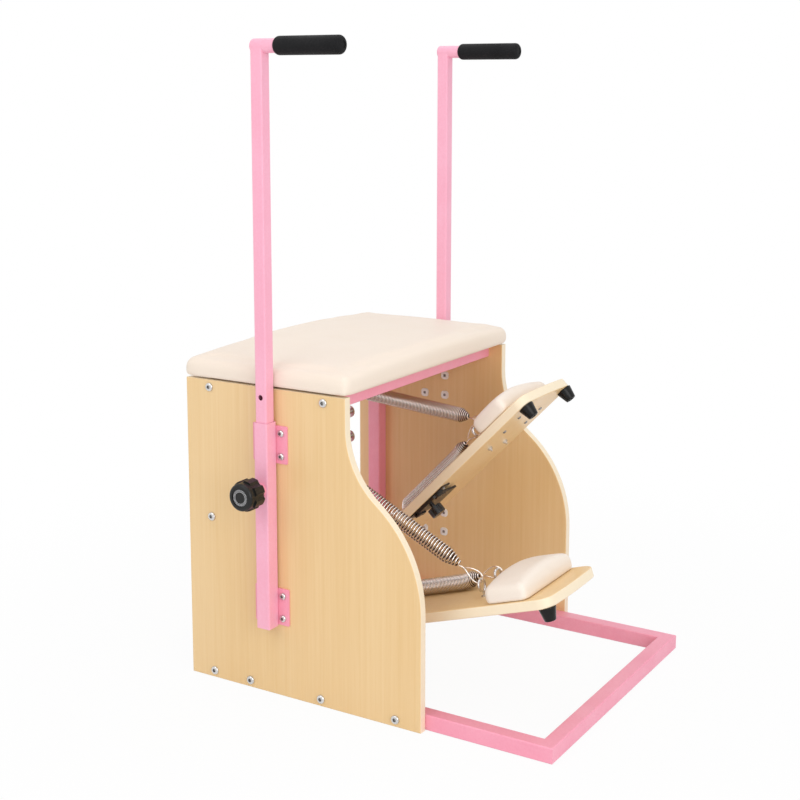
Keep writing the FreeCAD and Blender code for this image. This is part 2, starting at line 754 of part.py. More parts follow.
def make_handle(side, sign):
    line = f"{sign} * {sleeve_line}"
    post = square_tube(f"{side} post tube", post_size, post_wall, f"{arm_height} - {post_bottom}")
    nodes.remove(post)
    counts = range(-int(number(post_holes_below)), int(number(post_holes_above)) + 1)
    spots = [("0", f"{pin_height} - {post_bottom} + {count} * {post_hole_pitch}") for count in counts]
    drill_wall(post, "YZ_Plane", spots, f"{post_hole} / 2", sign == RIGHT)
    place(post, line, forward(post_setback), post_bottom)

    arm = new_body(f"{side} arm")
    sketch = new_sketch(arm, "YZ_Plane")
    outer = f"{arm_diameter} / 2"
    inner = f"({arm_diameter} / 2 - {arm_wall})"
    tail = arm_tail
    nose = f"-({arm_front} - {post_setback})"
    add_outline(sketch, [
        (tail, "0"),
        (tail, outer),
        (nose, outer),
        (nose, inner),
        (f"{tail} - {arm_wall}", inner),
        (f"{tail} - {arm_wall}", "0"),
    ])
    revolve(arm, sketch, "H_Axis")
    reach = number(tail) - 1e-3
    round_edges(arm, f"{arm_wall} * 2", lambda edge: edge.BoundBox.YMin > reach)
    place(arm, line, forward(post_setback), arm_height)

    core = doc.addObject("Part::Cylinder", f"{side} cope")
    core.setExpression("Radius", outer)
    core.setExpression("Height", f"4 * {tube_size}")
    place(core, line, forward(f"{post_setback} - 2 * {tube_size}"), arm_height, TO_FRONT)
    coped = doc.addObject("Part::Cut", f"{side} coped post")
    coped.Base = post
    coped.Tool = core
    weld = doc.addObject("Part::Fuse", f"{side}_post")
    weld.Base = coped
    weld.Tool = arm
    weld.Label = f"{side}_post"
    add_node(weld)

    grip = new_body(f"{side}_grip")
    sketch = new_sketch(grip, "YZ_Plane")
    hand = f"{grip_diameter} / 2"
    bore = f"({arm_diameter} / 2 + {hole_gap} / 2)"
    start = f"-({grip_setback} - {post_setback})"
    seat = f"-({arm_front} - {post_setback})"
    add_outline(sketch, [
        (start, bore),
        (start, hand),
        (f"{seat} - {grip_cap}", hand),
        (f"{seat} - {grip_cap}", "0"),
        (seat, "0"),
        (seat, bore),
    ])
    revolve(grip, sketch, "H_Axis")
    rim = number(hand) - 1e-3
    end = number(f"{seat} - {grip_cap}") + 1e-3
    round_edges(grip, grip_round, lambda edge: edge.BoundBox.YMax < end and edge.BoundBox.ZMax > rim)
    place(grip, line, forward(post_setback), arm_height)
    add_node(grip)

    glide = new_body(f"{side}_post_glide")
    sketch = new_sketch(glide, "XY_Plane")
    add_square(sketch, post_size)
    pad(glide, sketch, plug_flange)
    stub = new_sketch(glide, "XY_Plane")
    add_square(stub, f"({post_size} - 2 * {post_wall} - {hole_gap})")
    pad(glide, stub, plug_length)
    place(glide, line, forward(post_setback), f"{post_bottom} - {plug_flange}")
    add_node(glide)


# Pull pins: a boss on each sleeve, a pin that is drawn clear of the post, and a lobed knob.


def make_pin_bosses():
    boss = new_body("Pin boss")
    sketch = new_sketch(boss, "YZ_Plane")
    add_circle(sketch, "0", "0", f"{boss_diameter} / 2")
    add_circle(sketch, "0", "0", f"({pin_diameter} / 2 + {running_gap})")
    pad(boss, sketch, boss_length)
    copies("pin_bosses", boss, [
        (f"{sign} * {sleeve_face}", forward(post_setback), pin_height, FACING[opposite])
        for opposite, sign in (("right", LEFT), ("left", RIGHT))
    ])


def lobed_disc(body, sketch_role, lift, diameter, depth, lobes, notch, notch_depth):
    """Disc with evenly spaced round notches, which leave lobes for the fingers."""
    sketch = new_sketch(body, sketch_role, lift)
    add_circle(sketch, "0", "0", f"{diameter} / 2")
    pad(body, sketch, depth)
    scallop = new_sketch(body, sketch_role, lift)
    centre = f"({diameter} / 2 + {notch} / 2 - {notch_depth})"
    step = 360 / number(lobes)
    for index in range(int(number(lobes))):
        angle = index * step
        add_circle(scallop, f"{centre} * cos({angle})", f"{centre} * sin({angle})", f"{notch} / 2")
    cut(body, scallop)


def make_pin(side, sign):
    turn = FACING["left"] if sign == RIGHT else HALF_TURN
    pin = new_body(f"{side}_pin")
    sketch = new_sketch(pin, "YZ_Plane", f"-{tube_wall} + {pin_draw}")
    add_circle(sketch, "0", "0", f"{pin_diameter} / 2")
    knob_seat = f"({boss_length} + {pin_draw})"
    stem = f"{knob_seat} + {tube_wall} - {pin_draw} + {knob_rim_depth}"
    pad(pin, sketch, stem)
    place(pin, f"{sign} * {sleeve_face}", forward(post_setback), pin_height, turn)
    add_node(pin)

    knob = new_body(f"{side}_knob")
    lobed_disc(knob, "YZ_Plane", knob_seat, knob_rim, knob_rim_depth, knob_lobes, knob_notch,
               knob_notch_depth)
    face = new_sketch(knob, "YZ_Plane", f"{knob_seat} + {knob_rim_depth}")
    add_circle(face, "0", "0", f"{knob_face} / 2")
    pad(knob, face, knob_face_depth)
    top = number(f"{knob_seat} + {knob_rim_depth} + {knob_face_depth}") - 1e-3
    round_edges(knob, knob_round, lambda edge: edge.BoundBox.XMin > top)
    dish = new_sketch(knob, "YZ_Plane", f"{knob_seat} + {knob_rim_depth} + {knob_face_depth}")
    add_circle(dish, "0", "0", f"{knob_dish_diameter} / 2")
    cut(knob, dish, knob_dish)
    recess = new_sketch(knob, "YZ_Plane", knob_seat)
    add_circle(recess, "0", "0", f"({boss_diameter} / 2 + 2 * {assembly_gap})")
    cut(knob, recess, f"{pin_travel} + {assembly_gap}", True)
    bore = new_sketch(knob, "YZ_Plane", knob_seat)
    add_circle(bore, "0", "0", f"({pin_diameter} / 2 + {running_gap})")
    cut(knob, bore, knob_rim_depth, True)
    place(knob, f"{sign} * {sleeve_face}", forward(post_setback), pin_height, turn)
    add_node(knob)


# Seat: a plywood board on the frame, held from below, inside an upholstered cushion.


def cushion(label, width, depth, side_height, crown, corner, top_round, bottom_round):
    """Crowned cushion on Z = 0 with soft corners, a rolled top edge and drawn-in bottom edge."""
    body = new_body(label)
    sketch = new_sketch(body, "XZ_Plane")
    half = f"{width} / 2"
    add_bowed_outline(
        sketch,
        (half, side_height),
        (f"-{half}", side_height),
        crown,
        [(f"-{half}", "0"), (half, "0")],
    )
    pad(body, sketch, depth, both_ways=True)
    round_edges(body, corner, lambda edge: runs_along(edge, "z"))
    rim = number(side_height) - 1e-3
    round_edges(body, top_round, lambda edge: edge.BoundBox.ZMin > rim)
    round_edges(body, bottom_round, lambda edge: edge.BoundBox.ZMax < 1e-3)
    return body


def make_seat():
    width = f"({chair_width} + 2 * {seat_margin})"
    middle = f"{seat_depth} / 2 - {seat_overhang}"
    body = cushion("seat_cushion", width, seat_depth, seat_side, seat_crown, seat_corner,
                   seat_top_round, seat_bottom_round)
    board_width = f"({width} - 2 * {seat_board_inset})"
    board_depth = f"({seat_depth} - 2 * {seat_board_inset})"
    recess = new_sketch(body, "XY_Plane")
    add_rectangle(recess, f"({board_width} + {assembly_gap})", f"({board_depth} + {assembly_gap})")
    cut(body, recess, f"{seat_board_thickness} + {assembly_gap} / 2", True)
    place(body, "0", forward(middle), seat_frame_top)
    add_node(body)

    board = new_body("seat_board")
    sketch = new_sketch(board, "XY_Plane")
    add_rectangle(sketch, board_width, board_depth)
    pad(board, sketch, seat_board_thickness)
    holes = new_sketch(board, "XY_Plane")
    for setback in (rear_rail_setback, seat_front_setback):
        for sign in SIDES.values():
            along = f"{middle} - ({setback})"
            add_circle(holes, f"{sign} * {seat_screw_spread} / 2", along, screw_hole)
    cut(board, holes)
    place(board, "0", forward(middle), seat_frame_top)
    add_node(board)

    screw = wood_screw("Seat screw", f"{tube_size} + {seat_screw_bite}")
    copies("seat_screws", screw, [
        (f"{sign} * {seat_screw_spread} / 2", forward(setback), f"{seat_frame_top} - {tube_size}", None)
        for setback in (rear_rail_setback, seat_front_setback)
        for sign in SIDES.values()
    ])


def add_rectangle(sketch, width, depth):
    half_width = f"{width} / 2"
    half_depth = f"{depth} / 2"
    add_outline(sketch, [
        (f"-{half_width}", f"-{half_depth}"),
        (half_width, f"-{half_depth}"),
        (half_width, half_depth),
        (f"-{half_width}", half_depth),
    ])


def wood_screw(label, length):
    """Pan-head screw up +Z, with its head below the origin."""
    body = new_body(label)
    sketch = new_sketch(body, "XZ_Plane")
    add_outline(sketch, [
        ("0", length),
        (f"{screw_shank} / 2", length),
        (f"{screw_shank} / 2", "0"),
        (f"{screw_head} / 2", "0"),
        (f"{screw_head_flat} / 2", f"-{screw_head_height}"),
        ("0", f"-{screw_head_height}"),
    ])
    revolve(body, sketch, "V_Axis")
    return body


# Spring racks: a bar each side of the middle, with through pegs for the springs' height.


def peg_height(index):
    return f"({peg_top} - {index} * {peg_pitch})"


def make_spring_rack(side, sign):
    length = f"({seat_frame_top} - 2 * {tube_size})"
    bar = square_tube(f"{side}_spring_rack", tube_size, tube_wall, length)
    count = int(number(peg_count))
    spots = [("0", f"{peg_height(index)} - {tube_size}") for index in range(count)]
    drill_through(bar, "YZ_Plane", spots, f"({peg_diameter} / 2 + {running_gap})")
    axle_bore = f"({axle_diameter} / 2 + {running_gap})"
    drill_through(bar, "YZ_Plane", [("0", f"{axle_height} - {tube_size}")], axle_bore)
    place(bar, f"{sign} * {rack_offset}", forward(rear_rail_setback), tube_size)


def make_spring_pegs():
    peg = new_body("Spring peg")
    sketch = new_sketch(peg, "XY_Plane")
    shaft = f"{peg_diameter} / 2"
    disc = f"{peg_disc} / 2"
    inner = f"({peg_reach} - {peg_disc_thickness})"
    add_outline(sketch, [
        (f"-{peg_reach}", "0"),
        (f"-{peg_reach}", disc),
        (f"-{inner}", disc),
        (f"-{inner}", shaft),
        (inner, shaft),
        (inner, disc),
        (peg_reach, disc),
        (peg_reach, "0"),
    ])
    revolve(peg, sketch, "H_Axis")
    copies("spring_pegs", peg, [
        (f"{sign} * {rack_offset}", forward(rear_rail_setback), peg_height(index), None)
        for sign in SIDES.values()
        for index in range(int(number(peg_count)))
    ])


# Pedal hinge: an axle through the racks and two ears, with bushed knuckles under each pedal.


def pedal_edge():
    return f"({pedal_gap} / 2 + {pedal_width})"


def make_axle():
    ear = new_body("Hinge ear")
    sketch = new_sketch(ear, "YZ_Plane")
    rise = f"({axle_height} - {tube_size})"
    add_bowed_outline(
        sketch,
        (ear_round, "0"),
        (f"-{ear_round}", "0"),
        f"{ear_round} - {ear_flat}",
        [(f"-{ear_round}", f"-{rise}"), (ear_round, f"-{rise}")],
    )
    pad(ear, sketch, ear_thickness)
    drill_through(ear, "YZ_Plane", [("0", "0")], f"({axle_diameter} / 2 + {running_gap})")
    inside = f"({pedal_edge()} + {ear_play})"
    copies("pedal_hinge_ears", ear, [
        (inside, forward(rear_rail_setback), axle_height, None),
        (f"-({inside} + {ear_thickness})", forward(rear_rail_setback), axle_height, None),
    ])

    half = f"({inside} + {ear_thickness} + {axle_stub})"
    axle = new_body("pedal_axle")
    sketch = new_sketch(axle, "YZ_Plane")
    add_circle(sketch, "0", "0", f"{axle_diameter} / 2")
    pad(axle, sketch, f"2 * {half}", both_ways=True)
    place(axle, "0", forward(rear_rail_setback), axle_height)
    add_node(axle)

    nut = new_body("Axle nut")
    sketch = new_sketch(nut, "YZ_Plane")
    radius = f"({axle_nut_flats} / sqrt(3))"
    add_outline(sketch, [
        (f"{radius} * cos({angle})", f"{radius} * sin({angle})") for angle in range(30, 390, 60)
    ])
    add_circle(sketch, "0", "0", f"({axle_diameter} / 2 + {running_gap})")
    pad(nut, sketch, axle_nut_height)
    copies("axle_nuts", nut, [
        (f"{inside} + {ear_thickness}", forward(rear_rail_setback), axle_height, None),
        (f"-({inside} + {ear_thickness} + {axle_nut_height})", forward(rear_rail_setback), axle_height, None),
    ])


def knuckle_spans(sign):
    """Start and length of the two knuckles, each side of the rack, from the pedal's middle."""
    centre = pedal_centre
    rack_gap = f"({tube_size} / 2 + {knuckle_rack_gap})"
    inner_start = f"({pedal_gap} / 2 + {knuckle_side_gap} - {centre})"
    inner_end = f"({rack_offset} - {rack_gap} - {centre})"
    outer_start = f"({rack_offset} + {rack_gap} - {centre})"
    outer_end = f"({pedal_edge()} - {knuckle_side_gap} - {centre})"
    spans = [(inner_start, inner_end), (outer_start, outer_end)]
    if sign == RIGHT:
        return [(start, f"({end} - {start})") for start, end in spans]
    return [(f"-{end}", f"({end} - {start})") for start, end in spans]


def make_pedal_hinge(side, sign):
    spans = knuckle_spans(sign)
    plate = new_body(f"{side} hinge plate")
    sketch = new_sketch(plate, "XY_Plane", board_top)
    half = f"({pedal_width} / 2 - {knuckle_side_gap})"
    root = f"-{axle_diameter} / 2"
    shoulder = f"-{hinge_plate_rear}"
    (first, first_length), (second, second_length) = sorted(spans, key=lambda span: number(span[0]))
    add_outline(sketch, [
        (f"-{half}", f"-{hinge_plate_front}"),
        (half, f"-{hinge_plate_front}"),
        (half, root),
        (second, root),
        (second, shoulder),
        (f"{first} + {first_length}", shoulder),
        (f"{first} + {first_length}", root),
        (f"-{half}", root),
    ])
    pad(plate, sketch, hinge_plate_thickness)
    drill_through(plate, "XY_Plane", hinge_screw_spots(), screw_hole)

    solids = [plate]
    bores = []
    for start, length in spans:
        for radius, group in ((knuckle_radius, solids), (bush_radius, bores)):
            tube = doc.addObject("Part::Cylinder", f"{side} knuckle")
            tube.setExpression("Radius", radius)
            tube.setExpression("Height", length)
            place(tube, start, "0", "0", TO_RIGHT)
            group.append(tube)
    joined = doc.addObject("Part::MultiFuse", f"{side} hinge blank")
    joined.Shapes = solids
    drills = doc.addObject("Part::Compound", f"{side} hinge bores")
    drills.Links = bores
    hinge = doc.addObject("Part::Cut", f"{side}_pedal_hinge")
    hinge.Base = joined
    hinge.Tool = drills
    hinge.Label = f"{side}_pedal_hinge"
    ride_pedal(hinge, side)
    add_node(hinge)

    sleeves = []
    for start, length in spans:
        bush = new_body(f"{side} bush")
        sketch = new_sketch(bush, "YZ_Plane", start)
        add_circle(sketch, "0", "0", f"({bush_radius} - {running_gap})")
        add_circle(sketch, "0", "0", f"({axle_diameter} / 2 + {running_gap})")
        pad(bush, sketch, length)
        sleeves.append(bush)
    bushes = doc.addObject("Part::Compound", f"{side}_pedal_bushes")
    bushes.Links = sleeves
    bushes.Label = f"{side}_pedal_bushes"
    ride_pedal(bushes, side)
    add_node(bushes)


def hinge_screw_spots():
    reaches = (f"({hinge_screw_reach} - {hinge_plate_rear})", hinge_screw_reach)
    return [
        (f"{across} * {hinge_screw_spread} / 2", f"-{reach}")
        for reach in reaches
        for across in (-1, 1)
    ]


def pad_screw_spots():
    return [
        (f"{across} * {pad_screw_spread} / 2", f"-({pad_reach} + {along} * {pad_screw_pitch} / 2)")
        for across in (-1, 1)
        for along in (-1, 1)
    ]


def latch_screw_spots(sign):
    line = latch_line(sign)
    offset = f"({latch_slot} / 2 + {latch_wall} + {latch_tab} / 2)"
    return [(line, f"-({latch_reach} + {along} * {offset})") for along in (-1, 1)]


def latch_line(sign):
    """Middle of the latch or its keeper, across from the pedal's middle."""
    return f"{-sign} * ({pedal_width} / 2 - {latch_inset} - {latch_width} / 2)"


def hook_spots(sign):
    return [
        (f"{sign} * ({rack_offset} - {pedal_centre}) + {across} * {hook_offset}", f"-{hook_reach}")
        for across in (-1, 1)
    ]


# Pedals: flat boards with a bowed front edge, a padded bar, feet below and spring hooks above.


def make_pedal_board(side, sign):
    body = new_body(f"{side}_pedal_board")
    sketch = new_sketch(body, "XY_Plane", board_bottom)
    half = f"{pedal_width} / 2"
    add_bowed_outline(
        sketch,
        (f"-{half}", f"-{board_side_reach}"),
        (half, f"-{board_side_reach}"),
        board_bow,
        [(half, f"-{board_rear}"), (f"-{half}", f"-{board_rear}")],
    )
    pad(body, sketch, board_thickness)
    front = number(f"-{board_side_reach} / 2")
    round_edges(body, board_corner, lambda edge: runs_along(edge, "z") and edge.BoundBox.YMax < front)
    round_edges(body, board_rear_corner, lambda edge: runs_along(edge, "z") and is_rear_corner(edge))
    round_edges(body, board_round, lambda edge: edge.BoundBox.ZLength < 1e-3)
    drill_through(body, "XY_Plane", hook_spots(sign), f"({hook_wire} / 2 + {hole_gap})")
    screws = hinge_screw_spots() + pad_screw_spots() + latch_screw_spots(sign)
    drill_through(body, "XY_Plane", screws, screw_hole)
    ride_pedal(body, side)
    add_node(body)


def is_rear_corner(edge):
    return edge.BoundBox.YMin > number(f"-{board_rear}") - 1e-3


def make_pedal_pad(side):
    body = cushion(f"{side} pad form", pad_width, pad_depth, pad_side, pad_crown, pad_corner,
                   pad_top_round, pad_bottom_round)
    place(body, "0", f"-{pad_reach}", board_top)
    holder = doc.addObject("Part::Compound", f"{side}_pedal_pad")
    holder.Links = [body]
    holder.Label = f"{side}_pedal_pad"
    ride_pedal(holder, side)
    add_node(holder)


def foot_master():
    body = new_body("Pedal foot")
    sketch = new_sketch(body, "XZ_Plane")
    add_outline(sketch, [
        ("0", "0"),
        (f"{foot_diameter} / 2", "0"),
        (f"{foot_tip} / 2", f"-{foot_height}"),
        ("0", f"-{foot_height}"),
    ])
    revolve(body, sketch, "V_Axis")
    floor = number(f"-{foot_height}") + 1e-3
    round_edges(body, foot_round, lambda edge: edge.BoundBox.ZMax < floor)
    return body


def hook_master():
    """Screw hook: an open eye in the plane of X and Z on a shank that passes the board."""
    eye = doc.addObject("Part::Torus", "Hook eye")
    eye.setExpression("Radius1", f"{hook_eye} / 2")
    eye.setExpression("Radius2", f"{hook_wire} / 2")
    eye.setExpression("Angle3", f"360 - {hook_opening}")
    place(eye, "0", "0", hook_rise, Rotation(Vector(1, 0, 0), 90) * Rotation(Vector(0, 0, 1), -90))
    shank = doc.addObject("Part::Cylinder", "Hook shank")
    shank.setExpression("Radius", f"{hook_wire} / 2")
    below = f"({board_thickness} + 2 * {hook_nut_height})"
    shank.setExpression("Height", f"{hook_rise} - {hook_eye} / 2 + {below}")
    place(shank, "0", "0", f"-{below}")
    collar = doc.addObject("Part::Cylinder", "Hook collar")
    collar.setExpression("Radius", f"{hook_collar} / 2")
    collar.setExpression("Height", hook_collar_height)
    nut = doc.addObject("Part::Prism", "Hook nut")
    nut.Polygon = 6
    nut.setExpression("Circumradius", f"{hook_nut_flats} / sqrt(3)")
    nut.setExpression("Height", hook_nut_height)
    place(nut, "0", "0", f"-{board_thickness} - {hook_nut_height}")
    hook = doc.addObject("Part::MultiFuse", "Spring hook")
    hook.Shapes = [eye, shank, collar, nut]
    return hook


def make_pedal_fittings():
    foot = foot_master()
    hook = hook_master()
    screw = wood_screw("Pedal screw", screw_length)
    for side, sign in SIDES.items():
        feet = copies(f"{side}_pedal_feet", foot, [
            (f"{across} * {foot_spread} / 2", f"-{foot_reach}", board_bottom, None)
            for across in PEDAL_FEET[side]
        ])
        hooks = copies(f"{side}_pedal_hooks", hook, [
            (across, along, board_top, None) for across, along in hook_spots(sign)
        ])
        above = f"{board_top} + {hinge_plate_thickness}"
        below = f"{board_bottom} - {latch_wall}"
        spots = [(across, along, above, UPSIDE_DOWN) for across, along in hinge_screw_spots()]
        spots += [(across, along, board_bottom, None) for across, along in pad_screw_spots()]
        spots += [(across, along, below, None) for across, along in latch_screw_spots(sign)]
        screws = copies(f"{side}_pedal_screws", screw, spots)
        for group in (feet, hooks, screws):
            ride_pedal(group, side)


# Pedal latch: a bar under the right pedal slides across into a keeper under the left one.


def make_latch_channel(label, side, sign):
    body = new_body(label)
    sketch = new_sketch(body, "YZ_Plane", f"{latch_line(sign)} - {latch_width} / 2")
    slot = f"{latch_slot} / 2"
    wall = f"({slot} + {latch_wall})"
    tab = f"({wall} + {latch_tab})"
    lip = f"({slot} - {latch_lip})"
    top = board_bottom
    web = f"({board_bottom} - {latch_wall})"
    ledge = f"({web} - {latch_reveal})"
    floor = f"({ledge} - {latch_wall})"
    half_outline = [(tab, top), (tab, web), (wall, web), (wall, floor), (lip, floor), (lip, ledge),
                    (slot, ledge), (slot, web)]
    rear = [(f"-{latch_reach} + {along}", up) for along, up in half_outline]
    front = [(f"-{latch_reach} - {along}", up) for along, up in reversed(half_outline)]
    add_outline(sketch, rear + front)
    pad(body, sketch, latch_width)
    drill_through(body, "XY_Plane", latch_screw_spots(sign), screw_hole)
    ride_pedal(body, side)
    add_node(body)


def make_latch():
    make_latch_channel("latch_bracket", "right", RIGHT)
    make_latch_channel("latch_keeper", "left", LEFT)
    bar_top = f"({board_bottom} - {latch_wall} - {assembly_gap})"
    bar_bottom = f"({bar_top} - {latch_bar_thickness})"
    inner = f"({latch_bar_inset} - {pedal_width} / 2)"
    outer = f"({inner} + {latch_bar_length})"
    half = f"({latch_slot} / 2 - {assembly_gap})"
    bar = new_body("latch_bar")
    sketch = new_sketch(bar, "XY_Plane", bar_bottom)
    add_outline(sketch, [
        (inner, f"-{latch_reach} - {half} + {latch_bar_corner}"),
        (f"{inner} + {latch_bar_corner}", f"-{latch_reach} - {half}"),
        (outer, f"-{latch_reach} - {half}"),
        (outer, f"-{latch_reach} + {half}"),
        (f"{inner} + {latch_bar_corner}", f"-{latch_reach} + {half}"),
        (inner, f"-{latch_reach} + {half} - {latch_bar_corner}"),
    ])
    pad(bar, sketch, latch_bar_thickness)
    stem = new_sketch(bar, "XY_Plane", f"{bar_bottom} - {latch_stem_length}")
    line = f"({inner} + {latch_knob_inset})"
    add_circle(stem, line, f"-{latch_reach}", f"{latch_stem_diameter} / 2")
    pad(bar, stem, f"{latch_stem_length} + {latch_bar_thickness} / 2")
    ride_pedal(bar, "right")
    add_node(bar)

    knob = new_body("Latch knob form")
    lobed_disc(knob, "XY_Plane", f"-{latch_knob_height}", latch_knob_diameter, latch_knob_height,
               latch_knob_lobes, latch_knob_notch, latch_knob_notch_depth)
    deep = number(f"-{latch_knob_height}") + 1e-3
    round_edges(knob, latch_knob_round, lambda edge: edge.BoundBox.ZMax < deep)
    place(knob, line, f"-{latch_reach}", f"{bar_bottom} - {latch_stem_length}")
    holder = doc.addObject("Part::Compound", "latch_knob")
    holder.Links = [knob]
    holder.Label = "latch_knob"
    ride_pedal(holder, "right")
    add_node(holder)


# Springs: one unbroken wire each, from a loop through a tapered coil to the other loop.


def single_arc(start, direction, end):
    """Arc, or line, that leaves start in a direction and reaches end."""
    chord = end - start
    length = chord.Length
    unit = chord / length
    if unit.getAngle(direction) < 1e-5:
        return Part.LineSegment(start, end).toShape()
    bisector = (unit + direction).normalize()
    half_angle = direction.getAngle(unit) / 2
    middle = start + bisector * (length / 2 / math.cos(half_angle))
    return Part.Arc(start, middle, end).toShape()


def biarc(start, start_way, end, end_way):
    """Two tangent arcs between two places with given directions."""
    chord = end - start
    both = start_way + end_way
    square = 2 * (1 - start_way.dot(end_way))
    linear = 2 * chord.dot(both)
    if square < 1e-9:
        reach = chord.dot(chord) / linear
    else:
        reach = (math.sqrt(linear * linear + 4 * square * chord.dot(chord)) - linear) / (2 * square)
    middle = (start + end + (start_way - end_way) * reach) / 2
    first = single_arc(start, start_way, middle)
    second = single_arc(end, end_way * -1, middle)
    return [first, second]


def coil_station(turn, turns, start, end):
    """Place and direction on the coil's centre line, tapered to its neck at both ends."""

    def spot(at):
        edge = min(at, turns - at) / number(spring_taper_turns)
        share = min(max(edge, 0), 1)
        neck = number(spring_neck)
        full = number(f"({spring_diameter} - {spring_wire}) / 2")
        radius = neck + (full - neck) * math.sin(share * math.pi / 2)
        angle = 2 * math.pi * at - math.pi / 2
        along = start + (end - start) * at / turns
        return Vector(along, radius * math.sin(angle), radius * math.cos(angle))

    step = 1e-4
    way = (spot(turn + step) - spot(turn - step)).normalize()
    return spot(turn), way


def spring_path(length, turns, front_rise):
    """Edges of a spring along +X from the middle of one end loop to the middle of the other.

    The loops lie in the plane of X and Y. The front loop stands front_rise above the coil's line.
    """
    loop = number(spring_loop) / 2
    sweep = math.radians(number(spring_loop_sweep))
    start = number(spring_strand)
    end = length - number(spring_strand)
    stations = []
    quarter = math.pi / 2
    pieces = math.ceil(sweep / quarter)
    for index in range(pieces + 1):
        angle = -quarter - sweep * (1 - index / pieces)
        place_on = Vector(loop * math.cos(angle), loop * math.sin(angle), 0)
        stations.append((place_on, Vector(-math.sin(angle), math.cos(angle), 0)))
    for index in range(int(2 * turns) + 1):
        stations.append(coil_station(index / 2, turns, start, end))
    for index in range(pieces + 1):
        angle = -quarter + sweep * index / pieces
        hub = Vector(length, front_rise, 0)
        place_on = hub + Vector(loop * math.cos(angle), loop * math.sin(angle), 0)
        stations.append((place_on, Vector(-math.sin(angle), math.cos(angle), 0)))
    edges = []
    for (near, near_way), (far, far_way) in zip(stations, stations[1:]):
        edges += biarc(near, near_way, far, far_way)
    return stations, edges


def least_gap(edges, wire):
    """Least clear distance of the wire to itself, on points along its line."""
    points = []
    travelled = 0
    for edge in edges:
        share = edge.discretize(5)
        ahead = share if not points or share[0].distanceToPoint(points[-1][1]) < 1e-3 else share[::-1]
        for point in ahead[1:]:
            travelled += edge.Length / 4
            points.append((travelled, point))
    apart = [
        near.distanceToPoint(far)
        for index, (before, near) in enumerate(points)
        for after, far in points[index + 1:]
        if after - before > 4 * wire
    ]
    return min(apart) - wire


def spring_shape(label, length, turns, front_rise):
    stations, edges = spring_path(length, turns, front_rise)
    wire = number(spring_wire)
    origin, way = stations[0]
    section = Part.Wire([Part.Circle(origin, way, wire / 2).toShape()])
    shell = Part.BRepOffsetAPI.MakePipeShell(Part.Wire(Part.__sortEdges__(edges)))
    shell.add(section)
    shell.build()
    shell.makeSolid()
    print(f"{label}: least gap of the wire to itself {least_gap(edges, wire):.2f} mm")
    return shell.shape()


def pedal_point(side, reach, rise):
    """Y and Z of a place on a pedal, from its reach along the board and rise above the axle."""
    angle = math.radians(number(PEDAL_ANGLE[side]))
    along = reach * math.cos(angle) - rise * math.sin(angle)
    y = number(forward(rear_rail_setback)) - along
    z = number(axle_height) + reach * math.sin(angle) + rise * math.cos(angle)
    return y, z


def make_working_spring(label, side, peg_index, turns):
    """Spring from a rack peg down to the outer hook of a pedal, each loop bearing on its far side."""
    sign = SIDES[side]
    slack = number(f"{spring_loop} / 2 - {spring_wire} / 2 - {assembly_gap}")
    eye_rise = number(f"{board_top} + {hook_rise} + {hook_eye} / 2")
    eye = Vector(0, *pedal_point(side, number(hook_reach), eye_rise))
    peg = Vector(0, number(forward(rear_rail_setback)), number(peg_height(int(number(peg_index)))))
    way = (eye - peg).normalize()
    rear = peg + way * (slack - number(peg_diameter) / 2)
    front = eye - way * (slack - number(hook_wire) / 2)
    piece = doc.addObject("Part::Feature", label)
    piece.Shape = spring_shape(label, (front - rear).Length, number(turns), 0)
    across = Vector(-sign, 0, 0)
    upward = across.cross(way)
    turn = Rotation(way, upward, across, "XYZ")
    x = sign * number(f"{rack_offset} + {hook_offset}")
    piece.Placement = Placement(Vector(x, rear.y, rear.z), turn)
    piece.Label = label
    add_node(piece)


def make_slack_spring(label, side):
    """Spring that hangs on a pedal's inner hook and lies back along the board."""
    sign = SIDES[side]
    slack = number(f"{spring_loop} / 2 - {spring_wire} / 2 - {hook_wire} / 2 - {assembly_gap}")
    eye_rise = number(f"{board_top} + {hook_rise} + {hook_eye} / 2")
    line_rise = number(f"{board_top} + {spring_diameter} / 2 + {assembly_gap}")
    length = number(slack_spring_length)
    piece = doc.addObject("Part::Feature", f"{side} slack spring")
    piece.Shape = spring_shape(label, length, number(slack_turns), eye_rise - slack - line_rise)
    forward_way = Vector(0, -1, 0)
    upward = Vector(0, 0, 1)
    turn = Rotation(forward_way, upward, forward_way.cross(upward), "XYZ")
    x = number(f"{sign} * ({rack_offset} - {pedal_centre} - {hook_offset})")
    y = length - number(hook_reach)
    piece.Placement = Placement(Vector(x, y, line_rise), turn)
    holder = doc.addObject("Part::Compound", label)
    holder.Links = [piece]
    holder.Label = label
    ride_pedal(holder, side)
    add_node(holder)


# The whole chair.

make_base_frame()
make_seat_frame()
make_axle()
for side, sign in SIDES.items():
    make_side_panel(side, sign)
    make_spring_rack(side, sign)
    make_sleeve(side, sign)
    make_handle(side, sign)
    make_pin(side, sign)
    make_pedal_hinge(side, sign)
    make_pedal_board(side, sign)
    make_pedal_pad(side)
make_panel_bolts()
make_sleeve_brackets()
make_bracket_fasteners()
make_spring_pegs()
make_pin_bosses()
make_seat()
make_pedal_fittings()
make_latch()
make_working_spring("left_outer_spring", "left", left_outer_peg, left_outer_turns)
make_working_spring("right_outer_spring", "right", right_outer_peg, right_outer_turns)
make_slack_spring("left_inner_spring", "left")
doc.recompute()

for item in doc.Objects:
    if "Invalid" in item.State or "Error" in item.State:
        raise RuntimeError(f"{item.Label} did not build: {item.State}")
for piece in nodes:
    if piece.Shape.isNull() or not piece.Shape.isValid() or piece.Shape.Volume <= 0:
        raise RuntimeError(f"{piece.Label} has no valid solid")

